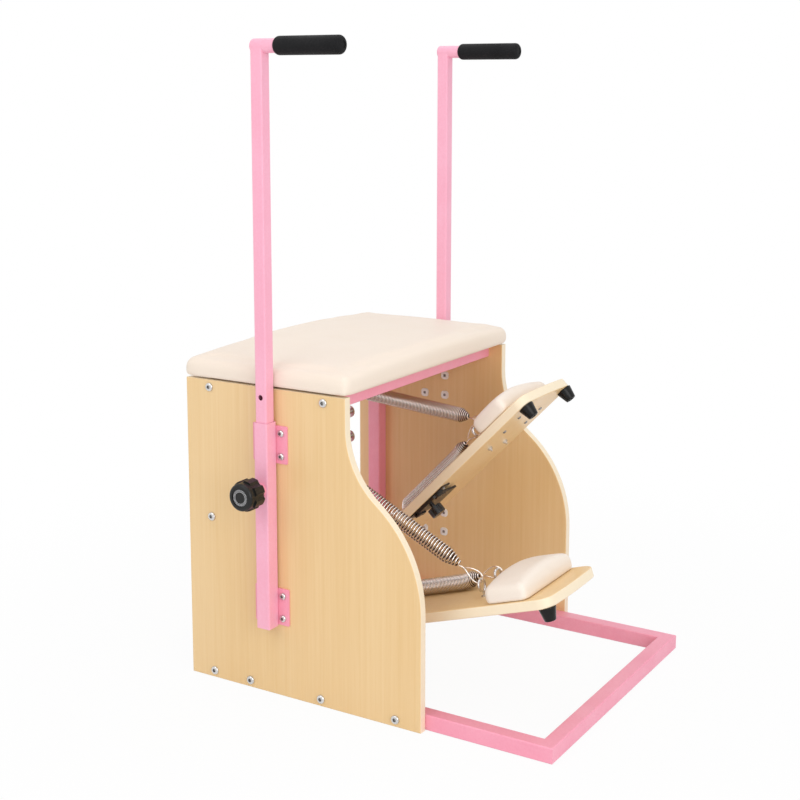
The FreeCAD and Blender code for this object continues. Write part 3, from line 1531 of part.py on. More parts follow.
os.makedirs("parts", exist_ok=True)
for piece in nodes:
    piece.Shape.exportStep(f"parts/{piece.Label}.step")
print(f"{len(nodes)} pieces written")
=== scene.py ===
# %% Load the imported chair
import json
import math

import bpy
from mathutils import Matrix, Vector


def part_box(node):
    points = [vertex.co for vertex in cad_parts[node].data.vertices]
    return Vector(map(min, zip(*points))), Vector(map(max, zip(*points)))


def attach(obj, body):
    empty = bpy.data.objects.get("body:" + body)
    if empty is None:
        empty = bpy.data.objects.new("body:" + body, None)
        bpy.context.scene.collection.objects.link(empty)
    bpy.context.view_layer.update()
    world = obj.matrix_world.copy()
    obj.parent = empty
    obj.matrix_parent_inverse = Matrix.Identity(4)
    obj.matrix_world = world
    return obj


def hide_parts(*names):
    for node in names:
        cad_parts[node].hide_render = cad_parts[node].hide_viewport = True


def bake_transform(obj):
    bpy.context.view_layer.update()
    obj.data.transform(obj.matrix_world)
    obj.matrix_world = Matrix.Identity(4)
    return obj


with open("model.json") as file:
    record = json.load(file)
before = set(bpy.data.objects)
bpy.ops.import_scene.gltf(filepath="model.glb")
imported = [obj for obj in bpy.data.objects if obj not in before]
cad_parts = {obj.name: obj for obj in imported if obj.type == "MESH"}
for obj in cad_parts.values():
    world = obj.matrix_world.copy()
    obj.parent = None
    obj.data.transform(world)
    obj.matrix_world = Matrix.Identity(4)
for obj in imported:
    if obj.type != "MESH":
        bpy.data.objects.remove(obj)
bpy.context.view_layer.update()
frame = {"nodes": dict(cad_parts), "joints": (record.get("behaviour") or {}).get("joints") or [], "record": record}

nodes = frame["nodes"]

# %% [markdown]
# A pilates chair stands on the floor: two plywood sides, a padded seat, two sprung pedals and
# two tall handles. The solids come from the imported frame, so nothing here moves them. This
# lesson adds the camera, the light, the finishes and the soft or fine pieces, one step at a
# time. A few helpers come first, because each step selects one piece, edits it and leaves
# edit mode again.

# %% Helpers for selecting, editing and finishing a piece


def only(*chosen):
    """Leave edit mode and select these objects alone, the last one active."""
    if bpy.context.object and bpy.context.object.mode != "OBJECT":
        bpy.ops.object.mode_set(mode="OBJECT")
    bpy.ops.object.select_all(action="DESELECT")
    for piece in chosen:
        piece.select_set(True)
        bpy.context.view_layer.objects.active = piece


def pick(piece, kind, test):
    """Enter edit mode with the faces or edges selected that pass a test."""
    only(piece)
    bpy.ops.object.mode_set(mode="EDIT")
    bpy.ops.mesh.select_mode(type=kind)
    bpy.ops.mesh.select_all(action="DESELECT")
    bpy.ops.object.mode_set(mode="OBJECT")
    for item in {"FACE": piece.data.polygons, "EDGE": piece.data.edges}[kind]:
        item.select = test(item)
    bpy.ops.object.mode_set(mode="EDIT")


def change(piece, kind, **settings):
    """Add one modifier with its settings and apply it."""
    only(piece)
    bpy.ops.object.modifier_add(type=kind)
    modifier = piece.modifiers[-1]
    for name, value in settings.items():
        setattr(modifier, name, value)
    bpy.ops.object.modifier_apply(modifier=modifier.name)


def settle(piece, name, finish):
    """Put a piece's place into its mesh, name it and give it its finish."""
    only(piece)
    bpy.ops.object.transform_apply(location=True, rotation=True, scale=True)
    piece.name = name
    piece.data.name = name
    piece.data.materials.clear()
    piece.data.materials.append(finish)
    return piece


def put(tree, kind, sockets, **settings):
    """Add one shader node; a socket takes either a plain value or another node's output."""
    made = tree.nodes.new(kind)
    for name, value in settings.items():
        setattr(made, name, value)
    for name, value in sockets.items():
        if isinstance(value, bpy.types.NodeSocket):
            tree.links.new(value, made.inputs[name])
        else:
            made.inputs[name].default_value = value
    return made


def compute(tree, operation, *values):
    """The output of one maths node."""
    return put(tree, "ShaderNodeMath", dict(enumerate(values)), operation=operation).outputs[0]


def ramp(tree, value, start, end, low=0.0, high=1.0):
    """A value spread from start..end to low..high and clamped there."""
    return put(tree, "ShaderNodeMapRange", {"Value": value, "From Min": start, "From Max": end,
                                            "To Min": low, "To Max": high}).outputs[0]


def mixed_color(tree, share, first, second):
    """A colour between two; the mix node keeps its colour sockets at 6, 7 and, going out, 2."""
    return put(tree, "ShaderNodeMix", {0: share, 6: first, 7: second}, data_type="RGBA").outputs[2]


print("helpers ready")

# %% [markdown]
# The photograph looks a little down on the chair's left side and its front, with a short
# telephoto lens. The camera's place and lens were found by fitting the corners of the panels, the
# base frame and the posts. A little lens shift lets it tilt less, so that the uprights stay nearly
# upright, as in a product photograph.

# %% Camera
IMAGE_SIDE = 800
FOCAL_PIXELS = 1414.4
AXIS_PIXEL = (389.9, 310.0)
CAMERA_PLACE = (-2.3827, -1.3536, 1.1653)
CAMERA_AZIMUTH = -58.25
CAMERA_ELEVATION = 9.24

only()
tilt = math.radians(90 - CAMERA_ELEVATION)
bpy.ops.object.camera_add(location=CAMERA_PLACE, rotation=(tilt, 0, math.radians(CAMERA_AZIMUTH)))
camera = bpy.context.object
camera.data.lens = camera.data.sensor_width * FOCAL_PIXELS / IMAGE_SIDE
camera.data.shift_x = 0.5 - AXIS_PIXEL[0] / IMAGE_SIDE
camera.data.shift_y = AXIS_PIXEL[1] / IMAGE_SIDE - 0.5
bpy.context.scene.camera = camera
bpy.context.scene.view_settings.view_transform = "Standard"
print("lens", round(camera.data.lens, 2), "mm")

# %% [markdown]
# The background is plain white. A white floor under strong light would bleach the chair, so
# the floor and the world only look white to the camera and in reflections, while the light on
# the chair stays soft and plain. The floor keeps a faint contact shadow near the chair and fades
# to plain white further out, so no horizon shows.

# %% Floor and world
FLOOR_SIZE = 120
FLOOR_GAP = 0.0008
SHADED_SHARE = 0.94
SHADED_REACH = (0.5, 1.6)
AMBIENT = 0.66
PAPER = (0.86, 0.86, 0.86, 1)
WHITE = (1, 1, 1, 1)


def seen_share(tree):
    """One for rays that look at the background: from the camera, in gloss or through glass."""
    ray = put(tree, "ShaderNodeLightPath", {}).outputs
    direct = compute(tree, "MAXIMUM", ray["Is Camera Ray"], ray["Is Glossy Ray"])
    return compute(tree, "MAXIMUM", direct, ray["Is Transmission Ray"])


only()
bpy.ops.mesh.primitive_plane_add(size=FLOOR_SIZE, location=(0, 0, -FLOOR_GAP))
floor = bpy.context.object
floor.name = "studio_floor"
paper = bpy.data.materials.new("studio_paper")
paper.use_nodes = True
tree = paper.node_tree
tree.nodes.clear()
matte = put(tree, "ShaderNodeBsdfDiffuse", {"Color": PAPER})
white = put(tree, "ShaderNodeEmission", {"Color": WHITE, "Strength": 1.0})
place = put(tree, "ShaderNodeTexCoord", {}).outputs["Object"]
reach = put(tree, "ShaderNodeVectorMath", {0: place}, operation="LENGTH").outputs["Value"]
near, far = SHADED_REACH
fade = {"Value": reach, "From Min": near, "From Max": far, "To Min": SHADED_SHARE, "To Max": 1.0}
clear = put(tree, "ShaderNodeMapRange", fade, interpolation_type="SMOOTHSTEP").outputs[0]
share = compute(tree, "MULTIPLY", seen_share(tree), clear)
mixed = put(tree, "ShaderNodeMixShader", {0: share, 1: matte.outputs[0], 2: white.outputs[0]})
put(tree, "ShaderNodeOutputMaterial", {"Surface": mixed.outputs[0]})
floor.data.materials.append(paper)

world = bpy.data.worlds.new("studio")
bpy.context.scene.world = world
world.use_nodes = True
tree = world.node_tree
tree.nodes.clear()
level = ramp(tree, seen_share(tree), 0.0, 1.0, AMBIENT, 1.0)
sky = put(tree, "ShaderNodeBackground", {"Color": WHITE, "Strength": level})
put(tree, "ShaderNodeOutputWorld", {"Surface": sky.outputs[0]})
print("floor and world white for the camera, ambient", AMBIENT)

# %% [markdown]
# Three large soft lamps light the chair. The main one stands at the front left, so that it
# reaches the inside of the far panel too. A weaker one lights the outer faces from the left, and
# one hangs above the seat. The world fills the rest, at a level where a colour looks as written.

# %% Lamps
AIM = Vector((0, 0, 0.55))


def softbox(name, place, side, watts):
    """A square area lamp that points at the chair's middle."""
    only()
    direction = (AIM - Vector(place)).to_track_quat("-Z", "Y").to_euler()
    bpy.ops.object.light_add(type="AREA", location=place, rotation=direction)
    lamp = bpy.context.object
    lamp.name = name
    lamp.data.size = side
    lamp.data.energy = watts
    print(name, watts, "W")


softbox("left_softbox", place=(-2.6, 0.6, 2.3), side=2.0, watts=17)
softbox("front_softbox", place=(-1.9, -2.7, 1.5), side=2.2, watts=38)
softbox("top_softbox", place=(0.2, 0.1, 3.2), side=2.4, watts=18)

# %% [markdown]
# The finishes share a few effects, so each effect is a node group that is built once. A group
# only puts out values that change over the surface; the shader itself stays in the material. The
# first effect gives wood its figure, its long streaks and its pores. A wood texture with rings
# would look like solid timber, so three noises are stretched along the grain and added up.

# %% Wood grain
FLOAT = "NodeSocketFloat"
VECTOR = "NodeSocketVector"
COLOR = "NodeSocketColor"


def shader_group(name, inputs, outputs):
    """An empty node group with named sockets, its input node and its output node."""
    group = bpy.data.node_groups.new(name, "ShaderNodeTree")
    for socket, kind in inputs.items():
        group.interface.new_socket(name=socket, in_out="INPUT", socket_type=kind)
    for socket, kind in outputs.items():
        group.interface.new_socket(name=socket, in_out="OUTPUT", socket_type=kind)
    return group, put(group, "NodeGroupInput", {}).outputs, put(group, "NodeGroupOutput", {}).inputs


def noise(tree, vector, scale, **sockets):
    return put(tree, "ShaderNodeTexNoise", {"Vector": vector, "Scale": scale, **sockets}).outputs[0]


# For each layer of the grain: how it repeats across and along the board, its detail and roughness,
# the part of the noise that it uses, and its share of the deep tone.
FIGURE = ((6, 6, 1.1), 3.0, 0.5, (0.30, 0.70), 0.40)
LINES = ((130, 130, 2.2), 5.0, 0.6, (0.34, 0.68), 0.32)
PORES = ((700, 700, 18), 2.0, 0.5, (0.55, 0.75), 0.15)

grain, ins, outs = shader_group("wood grain", {"Vector": VECTOR, "Pale": COLOR, "Deep": COLOR},
                                {"Color": COLOR, "Height": FLOAT})
whole = 0.0
for repeat, detail, rough, used, most in (FIGURE, LINES, PORES):
    spread = put(grain, "ShaderNodeMapping", {"Vector": ins["Vector"], "Scale": repeat}).outputs[0]
    layer = noise(grain, spread, 1.0, Detail=detail, Roughness=rough)
    whole = compute(grain, "ADD", whole, ramp(grain, layer, *used, high=most))
grain.links.new(mixed_color(grain, whole, ins["Pale"], ins["Deep"]), outs["Color"])
grain.links.new(whole, outs["Height"])
print("effect", grain.name)

# %% [markdown]
# No paint, plastic or plating is evenly glossy. Speckle adds a slow cloud to a fine noise and
# spreads the sum between two limits, which a finish then uses as its roughness or its tint. The
# fine noise alone is handed out too, as the height of a faint relief.

# %% Speckle
CLOUD_SCALE = 14.0
SPECKLE_USED = (0.7, 1.3)

speckle, ins, outs = shader_group("speckle", {"Vector": VECTOR, "Scale": FLOAT, "Low": FLOAT, "High": FLOAT},
                                  {"Value": FLOAT, "Height": FLOAT})
coarse = noise(speckle, ins["Vector"], CLOUD_SCALE, Detail=3.0)
fine = noise(speckle, ins["Vector"], ins["Scale"], Detail=2.0)
both = compute(speckle, "ADD", coarse, fine)
speckle.links.new(ramp(speckle, both, *SPECKLE_USED, ins["Low"], ins["High"]), outs["Value"])
speckle.links.new(fine, outs["Height"])
print("effect", speckle.name)

# %% [markdown]
# Leatherette is embossed with a skin of small cells. A smooth Voronoi pattern, the distance from
# the nearest cell's middle, is the height of that skin. A slow cloud decides where the rims of the
# cells look deeper in tone.

# %% Hide
CELL_SCALE = 620.0
BLOT_SCALE = 11.0
RIM_SHARE = 0.5

hide, ins, outs = shader_group("hide", {"Vector": VECTOR, "Pale": COLOR, "Deep": COLOR},
                               {"Color": COLOR, "Height": FLOAT})
cells = put(hide, "ShaderNodeTexVoronoi", {"Vector": ins["Vector"], "Scale": CELL_SCALE},
            feature="SMOOTH_F1").outputs["Distance"]
cloud = noise(hide, ins["Vector"], BLOT_SCALE, Detail=4.0)
blot = compute(hide, "MULTIPLY", compute(hide, "MULTIPLY", cells, RIM_SHARE), cloud)
hide.links.new(mixed_color(hide, blot, ins["Pale"], ins["Deep"]), outs["Color"])
hide.links.new(cells, outs["Height"])
print("effect", hide.name)

# %% [markdown]
# Each finish starts from the same base: a material with one shader that reads the piece's own
# coordinates. The helpers below place a group and link its outputs, so that a finish is only its
# colours, its gloss and the depth of its relief.

# %% Material helpers


def new_finish(name, **constants):
    """A material with one shader, whose constant sockets are set here, and object coordinates."""
    finish = bpy.data.materials.new(name)
    finish.use_nodes = True
    tree = finish.node_tree
    shader = tree.nodes["Principled BSDF"]
    for socket, value in constants.items():
        shader.inputs[socket.replace("_", " ")].default_value = value
    place = put(tree, "ShaderNodeTexCoord", {}).outputs["Object"]
    return finish, tree, shader, place


def use_group(tree, group, sockets):
    return put(tree, "ShaderNodeGroup", sockets, node_tree=group).outputs


def relief(tree, shader, height, depth, strength):
    bump = put(tree, "ShaderNodeBump", {"Height": height, "Distance": depth, "Strength": strength})
    tree.links.new(bump.outputs[0], shader.inputs["Normal"])


def uneven_gloss(tree, shader, place, scale, gloss):
    """Roughness that wanders between two values; the height of its specks is handed back."""
    low, high = gloss
    specks = use_group(tree, speckle, {"Vector": place, "Scale": scale, "Low": low, "High": high})
    tree.links.new(specks["Value"], shader.inputs["Roughness"])
    return specks["Height"]


TINT_COARSER = 4


def coated(name, color, deep, gloss, scale, bump, **constants):
    """A finish of one colour with cloudy tint, uneven gloss and a fine relief."""
    finish, tree, shader, place = new_finish(name, **constants)
    specks = uneven_gloss(tree, shader, place, scale, gloss)
    cloudy = {"Vector": place, "Scale": scale / TINT_COARSER, "Low": 0.0, "High": 1.0}
    tint = use_group(tree, speckle, cloudy)["Value"]
    tree.links.new(mixed_color(tree, tint, (*color, 1), (*deep, 1)), shader.inputs["Base Color"])
    relief(tree, shader, specks, *bump)
    print("finish", name)
    return finish


print("material helpers ready")

# %% [markdown]
# The panels and pedals are pale plywood under clear lacquer. The grain runs up the panels, and the
# cut edges show a lighter band. The band is found from how deep a point lies between the two
# faces, so it follows the S-curve without any painting by hand.

# %% Wood
WOOD_PALE = (0.875, 0.635, 0.345, 1)
WOOD_DEEP = (0.765, 0.495, 0.205, 1)
EDGE_PALE = (0.94, 0.82, 0.62, 1)
EDGE_SHARE = 0.88
EDGE_ROUND = 0.0012
LACQUER_SCALE = 300.0
LACQUER_GLOSS = (0.34, 0.52)
GRAIN_BUMP = (0.0004, 0.35)


def wood(name, origin, turn, across, low, high):
    """Lacquered plywood; across is the axis through the board, between the faces low and high."""
    finish, tree, shader, place = new_finish(name, Coat_Weight=0.25, Coat_Roughness=0.22)
    local = put(tree, "ShaderNodeMapping", {"Vector": place, "Location": origin, "Rotation": turn},
                vector_type="TEXTURE").outputs[0]
    rows = use_group(tree, grain, {"Vector": local, "Pale": WOOD_PALE, "Deep": WOOD_DEEP})
    depth = compute(tree, "ABSOLUTE", put(tree, "ShaderNodeSeparateXYZ", {"Vector": local}).outputs[across])
    above = ramp(tree, depth, low + EDGE_ROUND / 2, low + EDGE_ROUND)
    below = ramp(tree, depth, high - EDGE_ROUND / 2, high - EDGE_ROUND)
    edge = compute(tree, "MULTIPLY", compute(tree, "MULTIPLY", above, below), EDGE_SHARE)
    tree.links.new(mixed_color(tree, edge, rows["Color"], EDGE_PALE), shader.inputs["Base Color"])
    uneven_gloss(tree, shader, place, LACQUER_SCALE, LACQUER_GLOSS)
    relief(tree, shader, rows["Height"], *GRAIN_BUMP)
    print("finish", name)
    return finish


low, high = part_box("right_side_panel")
panel_wood = wood("panel_plywood", (0, 0, 0), (0, 0, 0), "X", low.x, high.x)

# %% [markdown]
# Both pedals are stored at their photographed angle. Their wood is laid out in the pedal's own
# frame, so the mapping is moved to the hinge line and turned back by the pedal's angle. The streaks
# run square to the board there, so its faces show a fine even fleck and no lines.

# %% Pedal wood
PEDAL_ANGLE = {"left": math.radians(17.4), "right": math.radians(45.9)}
# How far the upper and the lower face of a board lie under the hinge line.
BOARD_FACES = (0.008, 0.0275)
hinge = next(j for j in frame["joints"] if j["name"] == "left_pedal_swing")
hinge_line = Vector(hinge["pos_m"])


def board_wood(side):
    turn = (-PEDAL_ANGLE[side], 0, 0)
    return wood(f"{side}_pedal_plywood", hinge_line, turn, "Z", *BOARD_FACES)


pedal_wood = {side: board_wood(side) for side in PEDAL_ANGLE}

# %% [markdown]
# The steel tubes are powder coated in pink. The handles get a paler copy of the same pink, painted
# light for their brighter lit faces. Powder melts into a skin with a slight orange peel, which is a
# fine bump with an uneven gloss.

# %% Paint
ORANGE_PEEL = {"gloss": (0.30, 0.44), "scale": 900.0, "bump": (0.0004, 0.10)}
pink_paint = coated("pink_powder_coat", (0.94, 0.385, 0.505), (0.91, 0.335, 0.455), **ORANGE_PEEL)
# The handles' paler pink is painted light: the same paint, drawn as if lit brighter.
painted_light_pink = coated("painted_light_pink_powder_coat", (0.95, 0.465, 0.605), (0.93, 0.415, 0.55), **ORANGE_PEEL)

# %% [markdown]
# Bolts are brightly plated and plate nuts are dull zinc. The axle, the pins and the pedals' screws
# are plain steel, and the latch is blackened. These finishes are made as the paint is, and differ
# in how metallic and how rough they are.

# %% Metal
chrome = coated("bright_plating", (0.74, 0.73, 0.72), (0.60, 0.59, 0.58), gloss=(0.14, 0.28), scale=500.0,
                bump=(0.0002, 0.05), Metallic=1.0)
zinc = coated("zinc_plating", (0.90, 0.90, 0.89), (0.82, 0.82, 0.81), gloss=(0.30, 0.46), scale=500.0,
              bump=(0.0002, 0.08), Metallic=0.25)
steel = coated("plain_steel", (0.34, 0.33, 0.32), (0.22, 0.21, 0.21), gloss=(0.28, 0.45), scale=700.0,
               bump=(0.0002, 0.10), Metallic=1.0)
black_steel = coated("blackened_steel", (0.060, 0.055, 0.052), (0.035, 0.032, 0.030), gloss=(0.26, 0.40),
                     scale=700.0, bump=(0.0002, 0.10), Metallic=0.7)

# %% [markdown]
# Three black finishes would look alike if only their colour were set. Foam is rough with a grainy
# relief, moulded plastic has a satin gloss, and rubber is smooth but mirrors little.

# %% Foam, plastic and rubber
foam = coated("black_foam", (0.014, 0.014, 0.015), (0.008, 0.008, 0.009), gloss=(0.48, 0.66), scale=1500.0,
              bump=(0.0006, 0.30), Specular_IOR_Level=0.12)
plastic = coated("black_plastic", (0.014, 0.014, 0.015), (0.009, 0.009, 0.010), gloss=(0.22, 0.36),
                 scale=900.0, bump=(0.0003, 0.12), Specular_IOR_Level=0.45)
rubber = coated("black_rubber", (0.007, 0.007, 0.007), (0.012, 0.012, 0.012), gloss=(0.16, 0.28), scale=800.0,
                bump=(0.0002, 0.12), Specular_IOR_Level=0.2)

# %% [markdown]
# The seat and the pedal pads are covered in cream leatherette: an embossed skin of cells a
# millimetre or two across, with a soft sheen. The pads are a little whiter than the seat.

# %% Leatherette
HIDE_SCALE = 260.0
HIDE_GLOSS = (0.42, 0.60)
HIDE_BUMP = (0.0005, 0.22)


def leatherette(name, pale, deep):
    """An embossed cover with a deeper tone at the rims of its cells."""
    finish, tree, shader, place = new_finish(name, Sheen_Weight=0.15)
    skin = use_group(tree, hide, {"Vector": place, "Pale": (*pale, 1), "Deep": (*deep, 1)})
    tree.links.new(skin["Color"], shader.inputs["Base Color"])
    uneven_gloss(tree, shader, place, HIDE_SCALE, HIDE_GLOSS)
    relief(tree, shader, skin["Height"], *HIDE_BUMP)
    print("finish", name)
    return finish


seat_cover = leatherette("cream_leatherette", (0.90, 0.785, 0.67), (0.78, 0.64, 0.51))
pad_cover = leatherette("pale_leatherette", (0.905, 0.81, 0.715), (0.79, 0.675, 0.56))

# %% [markdown]
# Each pull knob has a scale printed on its black face: a thin ring and short strokes around it.
# The print follows from how far a point lies from the knob's axis and in which direction, so it
# turns with the knob and needs no picture.

# %% Printed knob
KNOB_AXIS = next(j for j in frame["joints"] if j["name"] == "left_knob_turn")["pos_m"]
# How far the knobs' faces lie from the chair's middle, then radius and half width of the print.
KNOB_FACE = 0.4118
RING = (0.0112, 0.0003)
STROKES = (0.0139, 0.0016)
STROKE_COUNT = 36
STROKE_SHARE = 0.38
INK = (0.62, 0.62, 0.64, 1)
KNOB_TONES = {"Scale": 400.0, "Low": 0.008, "High": 0.016}
KNOB_SCALE = 900.0
KNOB_GLOSS = (0.26, 0.40)
KNOB_BUMP = (0.0003, 0.12)

knob_plastic, tree, shader, place = new_finish("printed_knob", Specular_IOR_Level=0.3)
local = put(tree, "ShaderNodeMapping", {"Vector": place, "Location": (0, *KNOB_AXIS[1:])},
            vector_type="TEXTURE").outputs[0]
apart = put(tree, "ShaderNodeSeparateXYZ", {"Vector": local}).outputs
flat = put(tree, "ShaderNodeVectorMath", {0: local, 1: (0, 1, 1)}, operation="MULTIPLY").outputs[0]
reach = put(tree, "ShaderNodeVectorMath", {0: flat}, operation="LENGTH").outputs["Value"]
turned = compute(tree, "ARCTAN2", apart["Z"], apart["Y"])
stroke = compute(tree, "FRACT", compute(tree, "MULTIPLY", turned, STROKE_COUNT / (2 * math.pi)))
strokes = compute(tree, "MULTIPLY", compute(tree, "COMPARE", reach, *STROKES),
                  compute(tree, "LESS_THAN", stroke, STROKE_SHARE))
printed = compute(tree, "MAXIMUM", compute(tree, "COMPARE", reach, *RING), strokes)
face = compute(tree, "GREATER_THAN", compute(tree, "ABSOLUTE", apart["X"]), KNOB_FACE)
tone = use_group(tree, speckle, {"Vector": place, **KNOB_TONES})["Value"]
shade = mixed_color(tree, compute(tree, "MULTIPLY", printed, face), tone, INK)
tree.links.new(shade, shader.inputs["Base Color"])
relief(tree, shader, uneven_gloss(tree, shader, place, KNOB_SCALE, KNOB_GLOSS), *KNOB_BUMP)
print("knob print at", [round(v, 4) for v in KNOB_AXIS])

# %% [markdown]
# The imported record says which material each solid is made of, so most finishes are handed out by
# that. A few solids differ from the rest of their material, such as the pedals with their own wood,
# the handles with a paler pink as painted light, and the blackened latch.

# %% Give every solid its finish
FINISH = {"maple_ply": panel_wood, "pink_steel": pink_paint, "leatherette": seat_cover,
          "bright_steel": chrome, "plain_steel": steel, "black_foam": foam,
          "black_plastic": plastic, "black_rubber": rubber}
finish_of = {part["node"]: FINISH[part["material_slot"]] for part in frame["record"]["subparts"]}
for side, boards in pedal_wood.items():
    finish_of |= {f"{side}_pedal_board": boards, f"{side}_pedal_screws": steel, f"{side}_knob": knob_plastic,
                  f"{side}_post": painted_light_pink, f"{side}_sleeve": painted_light_pink}
finish_of |= dict.fromkeys(("latch_bracket", "latch_keeper", "latch_bar"), black_steel)
for name, node in nodes.items():
    for slot in node.material_slots:
        slot.material = finish_of[name]
print("finished", len(nodes), "solids")

# %% [markdown]
# Many small pieces repeat: bolts, plate nuts, rubber feet. Each is modelled once along Z at the
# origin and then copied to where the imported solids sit. The places of bolts and nuts aren't typed
# in: they are measured on a merged copy of the node, which is split into its separate solids and
# thrown away again.

# %% Measuring and copying repeated pieces
MERGE = 1e-5
# A face looks along an axis when its normal has at least this share in it.
FACING = 0.99


def solid_copy(node):
    """A new object with a copy of a node's mesh, its loose triangles merged."""
    piece = bpy.data.objects.new(node + "_copy", nodes[node].data.copy())
    bpy.context.collection.objects.link(piece)
    only(piece)
    bpy.ops.object.mode_set(mode="EDIT")
    bpy.ops.mesh.select_all(action="SELECT")
    bpy.ops.mesh.remove_doubles(threshold=MERGE)
    bpy.ops.object.mode_set(mode="OBJECT")
    return piece


def solids_of(node):
    """The lowest and highest corner of each separate solid in a node."""
    only(solid_copy(node))
    bpy.ops.object.mode_set(mode="EDIT")
    bpy.ops.mesh.select_all(action="SELECT")
    bpy.ops.mesh.separate(type="LOOSE")
    bpy.ops.object.mode_set(mode="OBJECT")
    corners = []
    for part in list(bpy.context.selected_objects):
        points = [v.co for v in part.data.vertices]
        low = Vector([min(p[i] for p in points) for i in range(3)])
        high = Vector([max(p[i] for p in points) for i in range(3)])
        corners.append((low, high))
        bpy.data.meshes.remove(part.data)
    return corners


def set_out(master, places):
    """One object from copies of a master, each with its own mesh, at these places."""
    made = []
    for place in places:
        piece = bpy.data.objects.new(master.name, master.data.copy())
        bpy.context.collection.objects.link(piece)
        piece.matrix_world = place
        made.append(piece)
    bpy.data.meshes.remove(master.data)
    bpy.context.view_layer.update()
    only(*made)
    bpy.ops.object.join()
    return bpy.context.object


def smooth(piece, degrees):
    """Smooth shading that keeps edges sharper than this angle."""
    only(piece)
    bpy.ops.object.shade_smooth_by_angle(angle=math.radians(degrees))


def paint_shade_in_holes(piece, corners, reach, span, finish):
    """A darker second finish, painted shade, for the faces near the solids' middles that lie this far from the
    chair's.
    """
    centers = [(low + high) / 2 for low, high in corners]
    piece.data.materials.append(finish)
    for face in piece.data.polygons:
        near = min((face.center.yz - center.yz).length for center in centers)
        inside = span[0] + MERGE < abs(face.center.x) < span[1] - MERGE
        face.material_index = int(inside and near < reach + MERGE)


print("panel bolts:", len(solids_of("panel_bolts")), "bracket bolts:", len(solids_of("bracket_bolts")))

# %% [markdown]
# The panels and the sleeve brackets are held by plated button-head bolts with a hexagon socket.
# A bolt starts as a cylinder. Its underside is inset and drawn out to the shank, the rim of the
# head is bevelled to a dome, and the socket is an inset ring pulled to six flats and pushed in. The
# socket gets a darker finish as painted shade in its recess.

# %% Button-head bolts
BOLT_SIDES = 24
SOCKET_SHARE = 0.40
SOCKET_DEPTH = 0.0024
# How many socket depths under the top of the head still count as the socket.
SOCKET_ROOM = 1.1
DOME_STEPS = 5
BOLT_TURN = math.radians(37)
CREASE = 35


def hexagon(angle):
    """How far from the middle a hexagon with flats at distance one lies, at an angle."""
    sixth = math.pi / 3
    return 1 / math.cos((angle + sixth / 2) % sixth - sixth / 2)


def socket_bolt(head, height, dome, shank, length):
    """A bolt along Z with the underside of its head at the origin."""
    flats = head * SOCKET_SHARE / 2
    only()
    bpy.ops.mesh.primitive_cylinder_add(vertices=BOLT_SIDES, radius=head / 2, depth=height,
                                        location=(0, 0, height / 2))
    bolt = bpy.context.object
    bpy.ops.object.transform_apply(location=True)
    pick(bolt, "FACE", lambda face: face.normal.z < -FACING)
    bpy.ops.mesh.inset(thickness=(head - shank) / 2)
    bpy.ops.mesh.extrude_region_move(TRANSFORM_OT_translate={"value": (0, 0, -length)})
    corner = bolt.data.vertices
    pick(bolt, "EDGE", lambda edge: all(corner[v].co.z > height - MERGE for v in edge.vertices))
    bpy.ops.mesh.bevel(offset=dome, segments=DOME_STEPS, profile=0.5, affect="EDGES")
    pick(bolt, "FACE", lambda face: face.normal.z > FACING and len(face.vertices) == BOLT_SIDES)
    bpy.ops.mesh.inset(thickness=head / 2 - dome - flats)
    bpy.ops.object.mode_set(mode="OBJECT")
    for vertex in bolt.data.vertices:
        if vertex.select:
            angle = math.atan2(vertex.co.y, vertex.co.x)
            reach = flats * hexagon(angle)
            vertex.co.xy = (reach * math.cos(angle), reach * math.sin(angle))
    bpy.ops.object.mode_set(mode="EDIT")
    bpy.ops.mesh.extrude_region_move(TRANSFORM_OT_translate={"value": (0, 0, -SOCKET_DEPTH)})
    smooth(bolt, CREASE)
    return bolt


def outward(low, high):
    """Which way is out for a solid: minus one left of the chair's middle, one right of it."""
    return -1 if low.x + high.x < 0 else 1


def bolts(node, name, head, height, dome, shank, spare):
    """Bolts in place of a node; each head stays where the solid's head is."""
    corners = solids_of(node)
    length = corners[0][1].x - corners[0][0].x - height - spare
    places = []
    for number, (low, high) in enumerate(corners):
        way = outward(low, high)
        seat = (low + high) / 2
        seat.x = (low.x if way < 0 else high.x) - way * height
        turn = Matrix.Rotation(way * math.pi / 2, 4, "Y") @ Matrix.Rotation(BOLT_TURN * number, 4, "Z")
        places.append(Matrix.Translation(seat) @ turn)
    piece = set_out(socket_bolt(head, height, dome, shank, length), places)
    settle(piece, name, chrome)
    tip = max(abs(v) for low, high in corners for v in (low.x, high.x))
    widest = head * SOCKET_SHARE / math.sqrt(3)
    # The socket's faces get plain steel as painted shade in the recess.
    paint_shade_in_holes(piece, corners, widest, (tip - SOCKET_ROOM * SOCKET_DEPTH, tip), steel)
    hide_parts(node)
    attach(piece, "frame")
    print(name, len(places), "bolts", round(1000 * length, 1), "mm under the head")


bolts("panel_bolts", "panel_button_bolts", head=0.017, height=0.0045, dome=0.0032, shank=0.008, spare=0)
bolts("bracket_bolts", "bracket_button_bolts", head=0.014, height=0.0045, dome=0.0030, shank=0.008,
      spare=0.004)

# %% [markdown]
# Inside the panels the bracket bolts end in plate nuts: a stamped plate, nearly square, with a
# threaded hole that looks dark. A cylinder is cut off on four sides with the bisect tool, its
# rim is eased, and the hole is an inset pushed in, whose faces get a darker finish as painted shade.

# %% Plate nuts
NUT_FLANGE = 0.020
NUT_HALF_SIDE = 0.0090
NUT_HOLE = 0.0036
NUT_EASE = 0.0006
NUT_RIM = 0.0012
NUT_SIDES = 40
HOLE_SHARE = 0.9
# A square with its corners cut off has eight; the rounded face of the plate has more.
PLATE_CORNERS = 8


